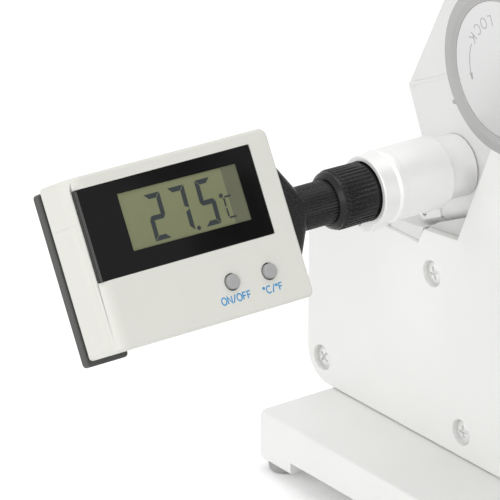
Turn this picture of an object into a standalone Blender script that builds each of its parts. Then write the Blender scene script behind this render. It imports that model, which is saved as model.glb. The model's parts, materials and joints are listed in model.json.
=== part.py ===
"""Abbe refractometer: a bench instrument with a hinged prism pair and a clip-on digital thermometer.

X points to the eyepiece and the person reading it, Y away from the side that carries the lock knob,
Z up. All lengths are in metres. The origin is the middle of the whole object's footprint, on the
surface that it stands on.
"""

from math import acos, atan2, cos, hypot, pi, radians, sin, tan

import bmesh
import bpy
from mathutils import Matrix, Vector

# Fits shared by all pieces
GAP = 0.0003
OVERRUN = 0.002
MERGE = 0.000001
SHARP_ANGLE = radians(35)
FLAT_ANGLE = radians(0.2)
FINE_SIDES = 24
ROUND_SIDES = 20
SMALL_SIDES = 12
RIB_CORNERS = ((0, 0), (0.45, 0), (0.55, 1), (0.9, 1))
BREAK_ANGLE = radians(60)
ARC_STEPS = 3

# Base plate
BASE_LENGTH = 0.146
BASE_WIDTH = 0.100
BASE_HEIGHT = 0.0102
BASE_OVERHANG = 0.0100
BASE_WALL = 0.0038
BASE_TOP_WALL = 0.0045
BASE_CORNER = 0.0030
BASE_EDGE = 0.0012
PAD_LENGTH = 0.0150
PAD_DEPTH = 0.0036

# Rubber feet
FOOT_RADIUS = 0.0044
FOOT_HEIGHT = 0.0026
FOOT_EDGE = 0.0008
FOOT_INSET = 0.0054
FOOT_PEG_RADIUS = 0.0020
FOOT_PEG_LENGTH = 0.0080

# Body, seen from the knob side
BODY_WIDTH = 0.0507
COVER_THICKNESS = 0.0025
BODY_WALL = 0.0040
BODY_LEFT_HEIGHT = 0.0530
BODY_FOOT_LENGTH = 0.1220
BODY_FOOT_RADIUS = 0.0090
BODY_CORNER = 0.0030
BODY_TOP_CORNER = 0.0040
FAR_WALL = 0.0025
BODY_BACK_X = 0.1300
BODY_BACK_Z = 0.0300
NOTCH_X = 0.0622
NOTCH_Z = 0.0598
NOTCH_ANGLE = radians(66.7)
NOTCH_RISE = 0.0485
HEAD_HALF_WIDTH = 0.0222
SEAT_START = 0.0170

# Prism block: a frame that lies along the parting plane, starting on the hinge axis
PARTING_ANGLE = radians(24.5)
HINGE_X = 0.03472
HINGE_Z = 0.092756
BLOCK_SIDE = 0.0030
BLOCK_START = 0.0005
BLOCK_LENGTH = 0.0610
BLOCK_DEPTH = 0.0370
BLOCK_CORNER = 0.0040
PARTING_HALF_GAP = 0.0005
SIDE_BEVEL_IN = 0.0066
SIDE_BEVEL_DEEP = 0.0020
UPPER_LENGTH = 0.0580
UPPER_HEIGHT = 0.0300
UPPER_SLOPE = radians(38.6)

# Glass of the prism pair
GLASS_WIDTH = 0.0254
GLASS_START = 0.0105
GLASS_LENGTH = 0.0420
GLASS_DEPTH = 0.0295
GLASS_FOOT = 0.0160
GLASS_LIP = 0.0035
LEDGE = 0.0045
BEAM_END = 0.0505
LIGHT_GLASS_INSET = 0.0052
LIGHT_GLASS_SIDE = 0.0045
LIGHT_GLASS_TOP = 0.0190
FRONT_PORT_WIDTH = 0.0150
FRONT_PORT_LOW = 0.0260
FRONT_PORT_HIGH = 0.0130

# Hinge
KNUCKLE_RADIUS = 0.0026
HINGE_PIN_RADIUS = 0.0013
KNUCKLE_INSET = 0.0080
KNUCKLE_LENGTH = 0.0060

# Light shield on the sloped face of the upper housing
SHIELD_LENGTH = 0.0270
SHIELD_WIDTH = 0.0240
SHIELD_THICKNESS = 0.0014
SHIELD_START = 0.0135
SHIELD_BARREL = 0.0015
SHIELD_PIN = 0.0009
SHIELD_LUG_WIDTH = 0.0026
SHIELD_LUG_RADIUS = 0.0021
SHIELD_GRIP_RADIUS = 0.0022
SHIELD_GRIP_HEIGHT = 0.0042
SHIELD_GRIP_PLACE = 0.0030
LIGHT_PORT_START = 0.0160
LIGHT_PORT_LENGTH = 0.0210
LIGHT_PORT_WIDTH = 0.0190

# Reflector under the front port
REFLECTOR_X = -0.0044
REFLECTOR_Z = -0.0328
REFLECTOR_LENGTH = 0.0235
REFLECTOR_WIDTH = 0.0290
REFLECTOR_THICKNESS = 0.0024
REFLECTOR_RIM = 0.0020
REFLECTOR_RECESS = 0.0012
REFLECTOR_BAR_RADIUS = 0.0015
REFLECTOR_PIN_RADIUS = 0.0009
REFLECTOR_EAR = 0.0028
REFLECTOR_EAR_RADIUS = 0.0024

# Lock: knob, shaft with a hook, and the striker that it holds
LOCK_X = 0.0686
LOCK_Z = -0.0012
KNOB_RADIUS = 0.0215
KNOB_FACE = 0.0170
KNOB_BACK = 0.0056
KNOB_EDGE = 0.0010
KNOB_DISC_RADIUS = 0.0170
KNOB_DISC_THICKNESS = 0.0014
KNOB_DISC_SINK = 0.0004
LOCK_SHAFT_RADIUS = 0.0030
LOCK_COLLAR_RADIUS = 0.0048
EAR_RADIUS = 0.0062
EAR_THICKNESS = 0.0060
EAR_START = 0.0620
HOOK_HUB_RADIUS = 0.0042
HOOK_INNER = 0.0087
HOOK_OUTER = 0.0110
HOOK_WIDTH = 0.0056
HOOK_START = radians(16)
HOOK_WEB = radians(28)
HOOK_END = radians(64)
STRIKER_PIN_X = 0.0637
STRIKER_PIN_Z = 0.0034
STRIKER_PIN_RADIUS = 0.0012
STRIKER_CHEEK = 0.0035
STRIKER_LOW = 0.0016
STRIKER_HIGH = 0.0040
STRIKER_REACH = 0.0065

# Water nozzles on the far side of both housings
NOZZLE_RADIUS = 0.0030
NOZZLE_BORE = 0.0015
NOZZLE_LENGTH = 0.0150
MANIFOLD_HALF_HEIGHT = 0.0042
MANIFOLD_THICKNESS = 0.0020
NOZZLE_PITCH = 0.0110
NOZZLE_BARB = 0.0036
NOZZLE_STUB = 0.0030
LOWER_NOZZLE_Z = -0.0220
LOWER_NOZZLE_X = 0.0135
UPPER_NOZZLE_Z = 0.0080
UPPER_NOZZLE_X = 0.0360

# Screws of the side cover
COVER_SCREW_HEAD = 0.0029
COVER_SCREW_HEAD_HEIGHT = 0.0012
COVER_SCREW_SHANK = 0.0014
COVER_SCREW_LENGTH = 0.0085
COUNTERBORE_RADIUS = 0.0034
COUNTERBORE_DEPTH = 0.0014
SCREW_CROSS_LENGTH = 0.0036
SCREW_CROSS_WIDTH = 0.0008
SCREW_CROSS_DEPTH = 0.0007
SCREW_CROWN = 0.0004
BOSS_RADIUS = 0.0042
LOW_SCREW_RISE = 0.0069
LEFT_SCREW_INSET = 0.0063
MIDDLE_SCREW_X = 0.0654
RIGHT_SCREW_INSET = 0.0090
NOTCH_SCREW_INSET = 0.0100
NOTCH_SCREW_DROP = 0.0127
HEAD_SCREW_DROP = 0.0100
HEAD_SCREW_INSET = 0.0066
BOSS_WEB_WIDTH = 0.0044

# Bolts that hold the prism block on its seat and the body on the base
BOLT_HEAD = 0.0036
BOLT_HEAD_HEIGHT = 0.0024
BOLT_SHANK = 0.0018
BLOCK_BOLT_LENGTH = 0.0120
BASE_BOLT_START = 0.0200
BASE_BOLT_PITCH = 0.0780
BASE_BOLT_LENGTH = 0.0078

# Scale window in the notch of the cover's top edge
WINDOW_LOW_START = 0.0335
WINDOW_LOW_END = 0.0462
WINDOW_TOP_END = 0.0478
WINDOW_LOW = 0.0538
WINDOW_SINK = 0.0009
WINDOW_DEPTH = 0.0070

# Scale drive: knob and pinion, swinging sector with mirror and scale glass
SCALE_KNOB_X = 0.1180
SCALE_KNOB_Z = 0.0450
SCALE_KNOB_RADIUS = 0.0135
SCALE_KNOB_LENGTH = 0.0120
SCALE_KNOB_BACK = 0.0012
SCALE_KNOB_NECK = 0.0075
SCALE_KNOB_NECK_LENGTH = 0.0020
SCALE_KNOB_EDGE = 0.0012
SCALE_KNOB_RIBS = 16
SCALE_KNOB_RIB = 0.0005
SCALE_SHAFT_RADIUS = 0.0022
PIVOT_X = 0.0965
PIVOT_Z = 0.0225
PIVOT_RADIUS = 0.0020
SOCKET_DEPTH = 0.0014
PINION_PITCH_RADIUS = 0.0036
PINION_TEETH = 9
PINION_WIDTH = 0.0060
TOOTH_ADDENDUM_SHARE = 0.30
TOOTH_DEDENDUM_SHARE = 0.40
TOOTH_ROOT_SHARE = 0.46
TOOTH_TIP_SHARE = 0.18
GEAR_PLACE = 0.0110
SECTOR_WIDTH = 0.0040
SECTOR_TEETH = 8
SECTOR_HUB_RADIUS = 0.0045
SECTOR_RIM = 0.0035
SECTOR_ARM = 0.0040
MIRROR_LENGTH = 0.0240
MIRROR_SIDE_ROOM = 0.01635
MIRROR_THICKNESS = 0.0020
MIRROR_TILT = radians(6.7)
MIRROR_SEAT = 0.0030
MIRROR_HOLDER = 0.0016
SCALE_GLASS_INNER = 0.0330
SCALE_GLASS_OUTER = 0.0420
SCALE_GLASS_HALF_ANGLE = radians(11)
SCALE_GLASS_DIRECTION = radians(152)
SCALE_GLASS_THICKNESS = 0.0016
SCALE_ARM_HALF_ANGLE = radians(8)

# Telescope: everything lies along one tilted axis
TELESCOPE_X = 0.1040
TELESCOPE_Z = 0.0380
TELESCOPE_TILT = radians(30)
HEAD_FACE = 0.0880
FLANGE_RADIUS = 0.0195
FLANGE_THICKNESS = 0.0040
BARREL_RADIUS = 0.0165
BARREL_BORE = 0.0145
BARREL_END = 0.1400
OBJECTIVE_START = 0.0300
OBJECTIVE_RADIUS = 0.0105
OBJECTIVE_BORE = 0.0090
OBJECTIVE_SHOULDER = 0.0060
OBJECTIVE_LENS_THICKNESS = 0.0040
OBJECTIVE_LENS_PLACE = 0.0020
OBJECTIVE_STOP = 0.0010
DISPERSION_PLACE = 0.1180
DISPERSION_PITCH_RADIUS = 0.0050
DISPERSION_TEETH = 10
CELL_TEETH = 24
CELL_MESH_RADIUS = 0.0120
CELL_FACE_DISTANCE = 0.0042
CELL_TOOTH_DEPTH = 0.0022
CELL_TOOTH_HALF_FACE = 0.0016
CELL_TOOTH_GAP_SHARE = 0.62
CELL_RADIUS = 0.0142
CELL_BORE = 0.0092
CELL_LENGTH = 0.0095
CELL_LIP = 0.0008
AMICI_RADIUS = 0.0088
DISPERSION_SHAFT_RADIUS = 0.0018
DISPERSION_PINION_LENGTH = 0.0024
DISPERSION_KNOB_RADIUS = 0.0125
DISPERSION_DIAL_RADIUS = 0.0150
DISPERSION_DIAL_THICKNESS = 0.0025
DISPERSION_KNOB_LENGTH = 0.0110
DISPERSION_KNOB_GAP = 0.0008
DISPERSION_BOSS_RADIUS = 0.0060
DISPERSION_BOSS_REACH = 0.0180
EYEPIECE_BARREL_RADIUS = 0.0135
EYEPIECE_BARREL_BORE = 0.0113
EYEPIECE_BARREL_END = 0.1720
EYEPIECE_COLLAR = 0.0030
EYEPIECE_SPIGOT = 0.0050
OCULAR_INSIDE = 0.0120
OCULAR_OUTSIDE = 0.0160
OCULAR_START = EYEPIECE_BARREL_END - OCULAR_INSIDE
OCULAR_RADIUS = 0.0110
OCULAR_BORE = 0.0092
OCULAR_END = EYEPIECE_BARREL_END + OCULAR_OUTSIDE
EYE_LENS_OUTSIDE = 0.0070
EYE_LENS_PLACE = EYEPIECE_BARREL_END + EYE_LENS_OUTSIDE
EYE_LENS_THICKNESS = 0.0045
EYE_LENS_LEDGE = 0.0008
FOCUS_RING_LENGTH = 0.0075
FOCUS_RING_RADIUS = 0.0155
FOCUS_RING_RIBS = 16
FOCUS_RING_RIB = 0.0005
EYECUP_ROOM = 0.0048
EYECUP_START = EYEPIECE_BARREL_END + GAP + FOCUS_RING_LENGTH + EYECUP_ROOM
EYECUP_LENGTH = 0.0110
EYECUP_RADIUS = 0.0165
EYECUP_WAIST = 0.0130
EYECUP_RIM = 0.0150

# Thermometer socket, turned about the stem's axis; stations are distances out from the cover face
STEM_X = 0.01582
STEM_Z = -0.02265
SOCKET_STUB_RADIUS = 0.0050
SOCKET_STUB_END = 0.0088
SOCKET_NECK_RADIUS = 0.0081
SOCKET_NECK_START = 0.0058
SOCKET_RADIUS = 0.00945
SOCKET_SHOULDER = 0.0215
SOCKET_ROLL = 0.0015
SOCKET_GROOVE = 0.0007
SOCKET_COLLAR_RADIUS = 0.0097
SOCKET_COLLAR_END = 0.0222
SOCKET_STEP = 0.0007
SOCKET_LIP_RADIUS = 0.0090
SOCKET_MOUTH = 0.0275
SOCKET_MOUTH_BORE = 0.0077
SOCKET_MOUTH_DEPTH = 0.0024
SOCKET_BORE = 0.0053
SOCKET_FLOOR = 0.0060
SOCKET_PROBE_BORE = 0.0022
CLAMP_LUG_RADIUS = 0.0040
CLAMP_LUG_DROP = 0.0072
CLAMP_LUG_LENGTH = 0.0044
CLAMP_LUG_START = 0.0230
CLAMP_HOLE_RADIUS = 0.0014

# Clamp nut, stem and probe
NUT_START = 0.0254
NUT_RIM_RADIUS = 0.0073
NUT_RIM_LENGTH = 0.0032
NUT_RADIUS = 0.0077
NUT_RIBS = 18
NUT_RIB = 0.0003
NUT_RIB_LENGTH = 0.0092
NUT_BAND_LENGTH = 0.0009
NUT_CONE_LENGTH = 0.0011
NUT_NOSE_RADIUS = 0.0063
NUT_BORE = 0.0056
BARREL_STEM_RADIUS = 0.0053
BARREL_STEM_END = 0.0494
INNER_STEM_RADIUS = 0.0050
INNER_STEM_START = 0.0090
PROBE_RADIUS = 0.0018
PROBE_TIP = 0.0080
PROBE_HOLD = 0.0060

# Thermometer case
CASE_NEAR = 0.0565
CASE_LENGTH = 0.0586
CASE_HEIGHT = 0.0432
CASE_FACE = 0.00715
CASE_DEPTH = 0.0130
CASE_WALL = 0.0018
CASE_TILT = radians(28.8)
CASE_CORNER = 0.0010
CASE_EDGE = 0.0016
FUNNEL_HALF_HEIGHT = 0.0150
FUNNEL_HALF_DEPTH = 0.0058
FUNNEL_SIDES = 24
FUNNEL_LAP = 0.0005
FUNNEL_STEP = 0.0002
FUNNEL_CORNER_POWER = 0.25
BACK_THICKNESS = 0.0027
BACK_LEFT_PROUD = 0.0003
BACK_TOP_INSET = 0.0010
BACK_TAB_LENGTH = 0.0119
BACK_TAB_DROP = 0.0016
BACK_CORNER = 0.0010
DOOR_HEIGHT = 0.0310
DOOR_WIDTH = 0.0109
DOOR_LOW = 0.0010
DOOR_THICKNESS = 0.0008
SPIGOT_RADIUS = 0.0050
SPIGOT_LENGTH = 0.0030
WINDOW_LEFT = 0.0015
WINDOW_TOP = 0.0031
WINDOW_LENGTH = 0.0521
WINDOW_HEIGHT = 0.0228
DISPLAY_RECESS = 0.0020
DISPLAY_FRAME_FLOOR = 0.0010
DISPLAY_FRAME_WALL = 0.0008
LCD_LEFT = 0.0129
LCD_TOP = 0.0033
LCD_LENGTH = 0.0350
LCD_HEIGHT = 0.0141
LCD_MARGIN = 0.0012
LCD_THICKNESS = 0.0016
BUTTON_RADIUS = 0.0021
BUTTON_PROUD = 0.0011
BUTTON_FLANGE_RADIUS = 0.0029
BUTTON_FLANGE = 0.0006
BUTTON_CROWN = 0.0003
BUTTON_FIRST = 0.0082
BUTTON_PITCH = 0.0112
BUTTON_LOW = 0.0088
BOARD_LENGTH = 0.0500
BOARD_HEIGHT = 0.0360
BOARD_THICKNESS = 0.0012
BATTERY_RADIUS = 0.0078
BATTERY_THICKNESS = 0.0032
BATTERY_PLACE = 0.0180

BODY_MIDDLE = BODY_WIDTH / 2
MIRROR_WIDTH = BODY_WIDTH - 2 * MIRROR_SIDE_ROOM
BLOCK_FAR_SIDE = BODY_WIDTH - BLOCK_SIDE
COVER_INSIDE = COVER_THICKNESS + GAP
FAR_WALL_INSIDE = BODY_WIDTH - FAR_WALL
BUTTON_PLACES = (BUTTON_FIRST, BUTTON_FIRST + BUTTON_PITCH)


# Scene set-up
for stale in list(bpy.data.objects):
    bpy.data.objects.remove(stale, do_unlink=True)


def new_collection(name):
    collection = bpy.data.collections.new(name)
    bpy.context.scene.collection.children.link(collection)
    return collection


PARTS = new_collection("abbe_refractometer")
CUTTERS = new_collection("cutters")


def material(name, color, roughness, metallic=0.0, transmission=0.0):
    """A Principled BSDF with one colour."""
    made = bpy.data.materials.new(name)
    made.use_nodes = True
    shader = made.node_tree.nodes["Principled BSDF"]
    shader.inputs["Base Color"].default_value = (*color, 1.0)
    shader.inputs["Roughness"].default_value = roughness
    shader.inputs["Metallic"].default_value = metallic
    shader.inputs["Transmission Weight"].default_value = transmission
    made.diffuse_color = (*color, 1.0)
    return made


PAINT = material("white_paint", (0.82, 0.82, 0.80), 0.45)
SATIN = material("satin_metal", (0.72, 0.72, 0.70), 0.32, metallic=0.9)
STEEL = material("bright_steel", (0.62, 0.62, 0.62), 0.25, metallic=1.0)
BRASS = material("brass", (0.72, 0.54, 0.26), 0.35, metallic=1.0)
BLACK_METAL = material("black_metal", (0.03, 0.03, 0.03), 0.4, metallic=0.4)
BLACK_PLASTIC = material("black_plastic", (0.025, 0.025, 0.025), 0.5)
KNOB_RUBBER = material("knob_rim_plastic", (0.16, 0.16, 0.16), 0.4)
KNOB_SILVER = material("knob_disc_metal", (0.62, 0.62, 0.64), 0.35, metallic=0.7)
RUBBER = material("rubber", (0.02, 0.02, 0.02), 0.8)
WHITE_PLASTIC = material("white_plastic", (0.80, 0.80, 0.77), 0.4)
GREY_PLASTIC = material("grey_plastic", (0.45, 0.45, 0.47), 0.5)
GLOSS_BLACK = material("gloss_black", (0.01, 0.01, 0.01), 0.12)
LCD_GREEN = material("display_green", (0.42, 0.45, 0.29), 0.3)
BOARD_GREEN = material("board_green", (0.03, 0.20, 0.08), 0.5)
GLASS = material("glass", (0.95, 0.97, 0.97), 0.05, transmission=1.0)
FROSTED = material("frosted_glass", (0.88, 0.88, 0.86), 0.5, transmission=0.5)
MIRROR = material("mirror", (0.85, 0.87, 0.88), 0.03, metallic=1.0)


# Places and outlines
def empty(name, parent, matrix):
    """A carrier that holds the pieces of one assembly or one joint."""
    carrier = bpy.data.objects.new(name, None)
    carrier.parent = parent
    carrier.matrix_local = matrix
    PARTS.objects.link(carrier)
    return carrier


def shift(x=0.0, y=0.0, z=0.0):
    return Matrix.Translation((x, y, z))


def turn(angle, axis):
    return Matrix.Rotation(angle, 4, axis)


def rounded(corners):
    """Outline through (x, y, radius) corners, each rounded by an arc of its own radius."""
    outline = []
    count = len(corners)
    for index, (x, y, radius) in enumerate(corners):
        corner = Vector((x, y))
        before = (Vector(corners[index - 1][:2]) - corner).normalized()
        after = (Vector(corners[(index + 1) % count][:2]) - corner).normalized()
        half = acos(max(-1.0, min(1.0, before.dot(after)))) / 2
        if radius <= 0:
            outline.append(tuple(corner))
            continue
        run = radius / tan(half)
        middle = corner + (before + after).normalized() * (radius / sin(half))
        first = corner + before * run - middle
        last = corner + after * run - middle
        start = atan2(first.y, first.x)
        sweep = (atan2(last.y, last.x) - start + pi) % (2 * pi) - pi
        for step in range(ARC_STEPS + 1):
            angle = start + sweep * step / ARC_STEPS
            outline.append((middle.x + radius * cos(angle), middle.y + radius * sin(angle)))
    return outline


def rectangle(left, right, low, high, radius=0.0):
    return rounded(
        [(left, low, radius), (right, low, radius), (right, high, radius), (left, high, radius)],
    )


def circle(radius, sides, x=0.0, y=0.0):
    return [
        (x + radius * cos(2 * pi * k / sides), y + radius * sin(2 * pi * k / sides))
        for k in range(sides)
    ]


def arc(radius, start, end, steps):
    """Points on a circle about the origin, from one angle to another."""
    points = []
    for step in range(steps + 1):
        angle = start + (end - start) * step / steps
        points.append((radius * cos(angle), radius * sin(angle)))
    return points


def ribbed(radius, rib, count):
    """Outline of a grip: square ribs round a circle."""
    outline = []
    pitch = 2 * pi / count
    for k in range(count):
        for rib_share, depth_share in RIB_CORNERS:
            angle = pitch * (k + rib_share)
            distance = radius - rib * depth_share
            outline.append((distance * cos(angle), distance * sin(angle)))
    return outline


def toothed(pitch_radius, teeth, pitch_length, first_angle, tooth_count):
    """Teeth on a circle, from the first one's angle on: trapezoids that leave a little backlash."""
    outline = []
    pitch = 2 * pi / teeth
    tip = pitch_radius + pitch_length * TOOTH_ADDENDUM_SHARE
    root = pitch_radius - pitch_length * TOOTH_DEDENDUM_SHARE
    for k in range(tooth_count):
        middle = first_angle + pitch * k
        for half_share, distance in (
            (-TOOTH_ROOT_SHARE / 2, root),
            (-TOOTH_TIP_SHARE / 2, tip),
            (TOOTH_TIP_SHARE / 2, tip),
            (TOOTH_ROOT_SHARE / 2, root),
        ):
            angle = middle + pitch * half_share
            outline.append((distance * cos(angle), distance * sin(angle)))
    return outline


def inset(outline, distance):
    """Outline moved to its own left by a distance, edge by edge."""
    moved = []
    count = len(outline)
    for index in range(count):
        here = Vector(outline[index])
        into = (here - Vector(outline[index - 1])).normalized()
        out = (Vector(outline[(index + 1) % count]) - here).normalized()
        into_side = Vector((-into.y, into.x))
        out_side = Vector((-out.y, out.x))
        bisector = (into_side + out_side).normalized()
        reach = distance / bisector.dot(into_side)
        moved.append(tuple(here + bisector * reach))
    return moved


# Solids
def place_object(name, mesh, surface, parent, matrix, collection):
    made = bpy.data.objects.new(name, mesh)
    collection.objects.link(made)
    made.parent = parent
    made.matrix_local = matrix
    if surface is None:
        made.hide_render = True
        made.display_type = "WIRE"
    else:
        mesh.materials.clear()
        mesh.materials.append(surface)
    return made


def home(surface):
    return CUTTERS if surface is None else PARTS


def smooth(mesh):
    mesh.shade_smooth()
    mesh.set_sharp_from_angle(angle=SHARP_ANGLE)


def block(name, low, high, surface, parent, matrix=None):
    """Box between two opposite corners."""
    box = bmesh.new()
    bmesh.ops.create_cube(box, size=1.0)
    size = Vector(high) - Vector(low)
    middle = (Vector(high) + Vector(low)) / 2
    box.transform(Matrix.Translation(middle) @ Matrix.Diagonal((*size, 1.0)))
    mesh = bpy.data.meshes.new(name)
    box.to_mesh(mesh)
    box.free()
    return place_object(name, mesh, surface, parent, matrix or Matrix(), home(surface))


def rod(name, radius, low, high, surface, parent, matrix=None, sides=ROUND_SIDES, end_radius=None):
    """Cylinder or cone along its own Z, from one height to another."""
    bar = bmesh.new()
    top = radius if end_radius is None else end_radius
    place = shift(z=(low + high) / 2)
    bmesh.ops.create_cone(
        bar, cap_ends=True, segments=sides, radius1=radius, radius2=top, depth=high - low, matrix=place
    )
    mesh = bpy.data.meshes.new(name)
    bar.to_mesh(mesh)
    bar.free()
    smooth(mesh)
    return place_object(name, mesh, surface, parent, matrix or Matrix(), home(surface))


def turned(name, profile, surface, parent, matrix=None, sides=ROUND_SIDES, closed=False):
    """Profile of (radius, height) points, top to bottom on the outside, screwed about Z."""
    line = bmesh.new()
    points = [line.verts.new((radius, 0, height)) for radius, height in profile]
    for first, second in zip(points, points[1:]):
        line.edges.new((first, second))
    if closed:
        line.edges.new((points[-1], points[0]))
    mesh = bpy.data.meshes.new(name)
    line.to_mesh(mesh)
    line.free()
    made = place_object(name, mesh, surface, parent, matrix or Matrix(), home(surface))
    screw = made.modifiers.new("turn", "SCREW")
    screw.axis = "Z"
    screw.steps = sides
    screw.render_steps = sides
    screw.use_merge_vertices = True
    screw.merge_threshold = MERGE
    screw.use_smooth_shade = True
    return made


def plate(name, outlines, low, high, surface, parent, matrix=None):
    """Flat outlines, the first one outside and the rest holes, thick from low to high along Z."""
    curve = bpy.data.curves.new(name, "CURVE")
    curve.dimensions = "2D"
    curve.fill_mode = "BOTH"
    curve.extrude = (high - low) / 2
    for outline in outlines:
        spline = curve.splines.new("POLY")
        spline.points.add(len(outline) - 1)
        for point, (x, y) in zip(spline.points, outline):
            point.co = (x, y, 0, 1)
        spline.use_cyclic_u = True
    sketch = bpy.data.objects.new(name, curve)
    CUTTERS.objects.link(sketch)
    bpy.context.view_layer.update()
    mesh = bpy.data.meshes.new_from_object(sketch.evaluated_get(bpy.context.evaluated_depsgraph_get()))
    bpy.data.objects.remove(sketch, do_unlink=True)
    solid = bmesh.new()
    solid.from_mesh(mesh)
    bmesh.ops.remove_doubles(solid, verts=solid.verts, dist=MERGE)
    bmesh.ops.recalc_face_normals(solid, faces=solid.faces)
    if len(outlines) == 1:
        bmesh.ops.dissolve_limit(solid, angle_limit=FLAT_ANGLE, verts=solid.verts, edges=solid.edges)
    solid.transform(shift(z=(low + high) / 2))
    solid.to_mesh(mesh)
    solid.free()
    mesh.name = name
    smooth(mesh)
    return place_object(name, mesh, surface, parent, matrix or Matrix(), home(surface))


# A plate drawn in X and Z, as seen from the knob side, is stood up by this turn: its own Z is then
# the world's -Y, so its heights are distances out of the knob side.
UPRIGHT = turn(pi / 2, "X")


def side_plate(name, outlines, near, far, surface, parent, matrix=None):
    """Plate drawn as the knob side sees it, from one distance across the body to another."""
    return plate(name, outlines, -far, -near, surface, parent, (matrix or Matrix()) @ UPRIGHT)


def cross_rod(name, radius, x, z, near, far, surface, parent, sides=SMALL_SIDES):
    """Round bar that runs across the body."""
    return rod(name, radius, -far, -near, surface, parent, shift(x=x, z=z) @ UPRIGHT, sides)


def combine(made, other, operation):
    step = made.modifiers.new(operation.lower(), "BOOLEAN")
    step.operation = operation
    step.solver = "EXACT"
    step.object = other
    return made


def cut(made, *tools):
    for tool in tools:
        combine(made, tool, "DIFFERENCE")
    return made


def join(made, *tools):
    for tool in tools:
        combine(made, tool, "UNION")
    return made


def trim(made, point, outward):
    """Slice a flat off a convex mesh and close the cut."""
    solid = bmesh.new()
    solid.from_mesh(made.data)
    parts = solid.verts[:] + solid.edges[:] + solid.faces[:]
    sliced = bmesh.ops.bisect_plane(
        solid, geom=parts, dist=MERGE, plane_co=point, plane_no=outward, clear_outer=True
    )
    rim = [item for item in sliced["geom_cut"] if isinstance(item, bmesh.types.BMEdge)]
    bmesh.ops.holes_fill(solid, edges=rim, sides=0)
    bmesh.ops.recalc_face_normals(solid, faces=solid.faces)
    solid.to_mesh(made.data)
    solid.free()


def repeat(name, pattern, matrices, surface, parent):
    """Copies of one finished piece, each its own object on one shared mesh."""
    bpy.context.view_layer.update()
    graph = bpy.context.evaluated_depsgraph_get()
    mesh = bpy.data.meshes.new_from_object(pattern.evaluated_get(graph))
    mesh.name = name
    smooth(mesh)
    for index, matrix in enumerate(matrices):
        place_object(f"{name}_{index + 1}", mesh, surface, parent, matrix, PARTS)


def screw_pattern(name, head, head_height, shank, length, crown, cross=None):
    """Screw along Z with its head on top and the bearing face at zero."""
    profile = [
        (0, head_height),
        (head - crown, head_height),
        (head, head_height - crown),
        (head, 0),
        (shank, 0),
        (shank, -length),
        (0, -length),
    ]
    made = turned(name, profile, None, None, sides=SMALL_SIDES)
    if cross:
        reach, half, depth = cross
        floor = head_height - depth
        roof = head_height + OVERRUN
        first = block(name + "_slot_a", (-reach, -half, floor), (reach, half, roof), None, None)
        second = block(name + "_slot_b", (-half, -reach, floor), (half, reach, roof), None, None)
        cut(made, first, second)
    return made


# Carriers
ROOT = empty("instrument", None, Matrix())
PRISM_FRAME = empty("prism_frame", ROOT, shift(x=HINGE_X, z=HINGE_Z) @ turn(-PARTING_ANGLE, "Y"))
PRISM_HINGE = empty("prism_hinge", PRISM_FRAME, Matrix())
SHIELD_AXIS_X = SHIELD_START + SHIELD_LENGTH + SHIELD_BARREL
SHIELD_AXIS_Z = SHIELD_BARREL + GAP
SLOPE_FRAME = empty("slope_frame", PRISM_HINGE, shift(x=BLOCK_START) @ turn(-UPPER_SLOPE, "Y"))
SHIELD_HINGE = empty("shield_hinge", SLOPE_FRAME, shift(x=SHIELD_AXIS_X, z=SHIELD_AXIS_Z))
REFLECTOR_PIVOT = empty("reflector_pivot", PRISM_FRAME, shift(x=REFLECTOR_X, z=REFLECTOR_Z))
LOCK_AXIS = empty("lock_axis", PRISM_FRAME, shift(x=LOCK_X, z=LOCK_Z))
SCALE_AXIS = empty("scale_axis", ROOT, shift(x=SCALE_KNOB_X, z=SCALE_KNOB_Z))
MIRROR_AXIS = empty("mirror_axis", ROOT, shift(x=PIVOT_X, z=PIVOT_Z))
TELESCOPE = empty(
    "telescope", ROOT, shift(x=TELESCOPE_X, y=BODY_MIDDLE, z=TELESCOPE_Z) @ turn(TELESCOPE_TILT, "Y"),
)
OCULAR = empty("ocular", TELESCOPE, Matrix())
FOCUS = empty("focus", TELESCOPE, Matrix())
CELL_LOW = empty("cell_low", TELESCOPE, Matrix())
CELL_HIGH = empty("cell_high", TELESCOPE, Matrix())
DISPERSION_AXIS = empty("dispersion_axis", TELESCOPE, shift(z=DISPERSION_PLACE) @ turn(pi / 2, "X"))
STEM = empty("stem", PRISM_FRAME, shift(x=STEM_X, z=STEM_Z) @ turn(PARTING_ANGLE, "Y") @ UPRIGHT)
NUT = empty("nut", STEM, Matrix())
CASE_MIDDLE = CASE_NEAR + CASE_LENGTH / 2
# In the head's own frame X is the reading direction, Y is up the display and Z comes out of it.
HEAD = empty(
    "head",
    STEM,
    shift(z=CASE_MIDDLE) @ UPRIGHT.inverted() @ turn(pi / 2, "Z") @ turn(pi / 2 - CASE_TILT, "X"),
)


def prism_point(x, z):
    """Body coordinates of a place given along and across the parting plane."""
    return (
        HINGE_X + x * cos(PARTING_ANGLE) - z * sin(PARTING_ANGLE),
        HINGE_Z + x * sin(PARTING_ANGLE) + z * cos(PARTING_ANGLE),
    )


def telescope_point(along, across):
    """Body coordinates of a place along and across the telescope's axis."""
    return (
        TELESCOPE_X + along * sin(TELESCOPE_TILT) + across * cos(TELESCOPE_TILT),
        TELESCOPE_Z + along * cos(TELESCOPE_TILT) - across * sin(TELESCOPE_TILT),
    )


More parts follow.
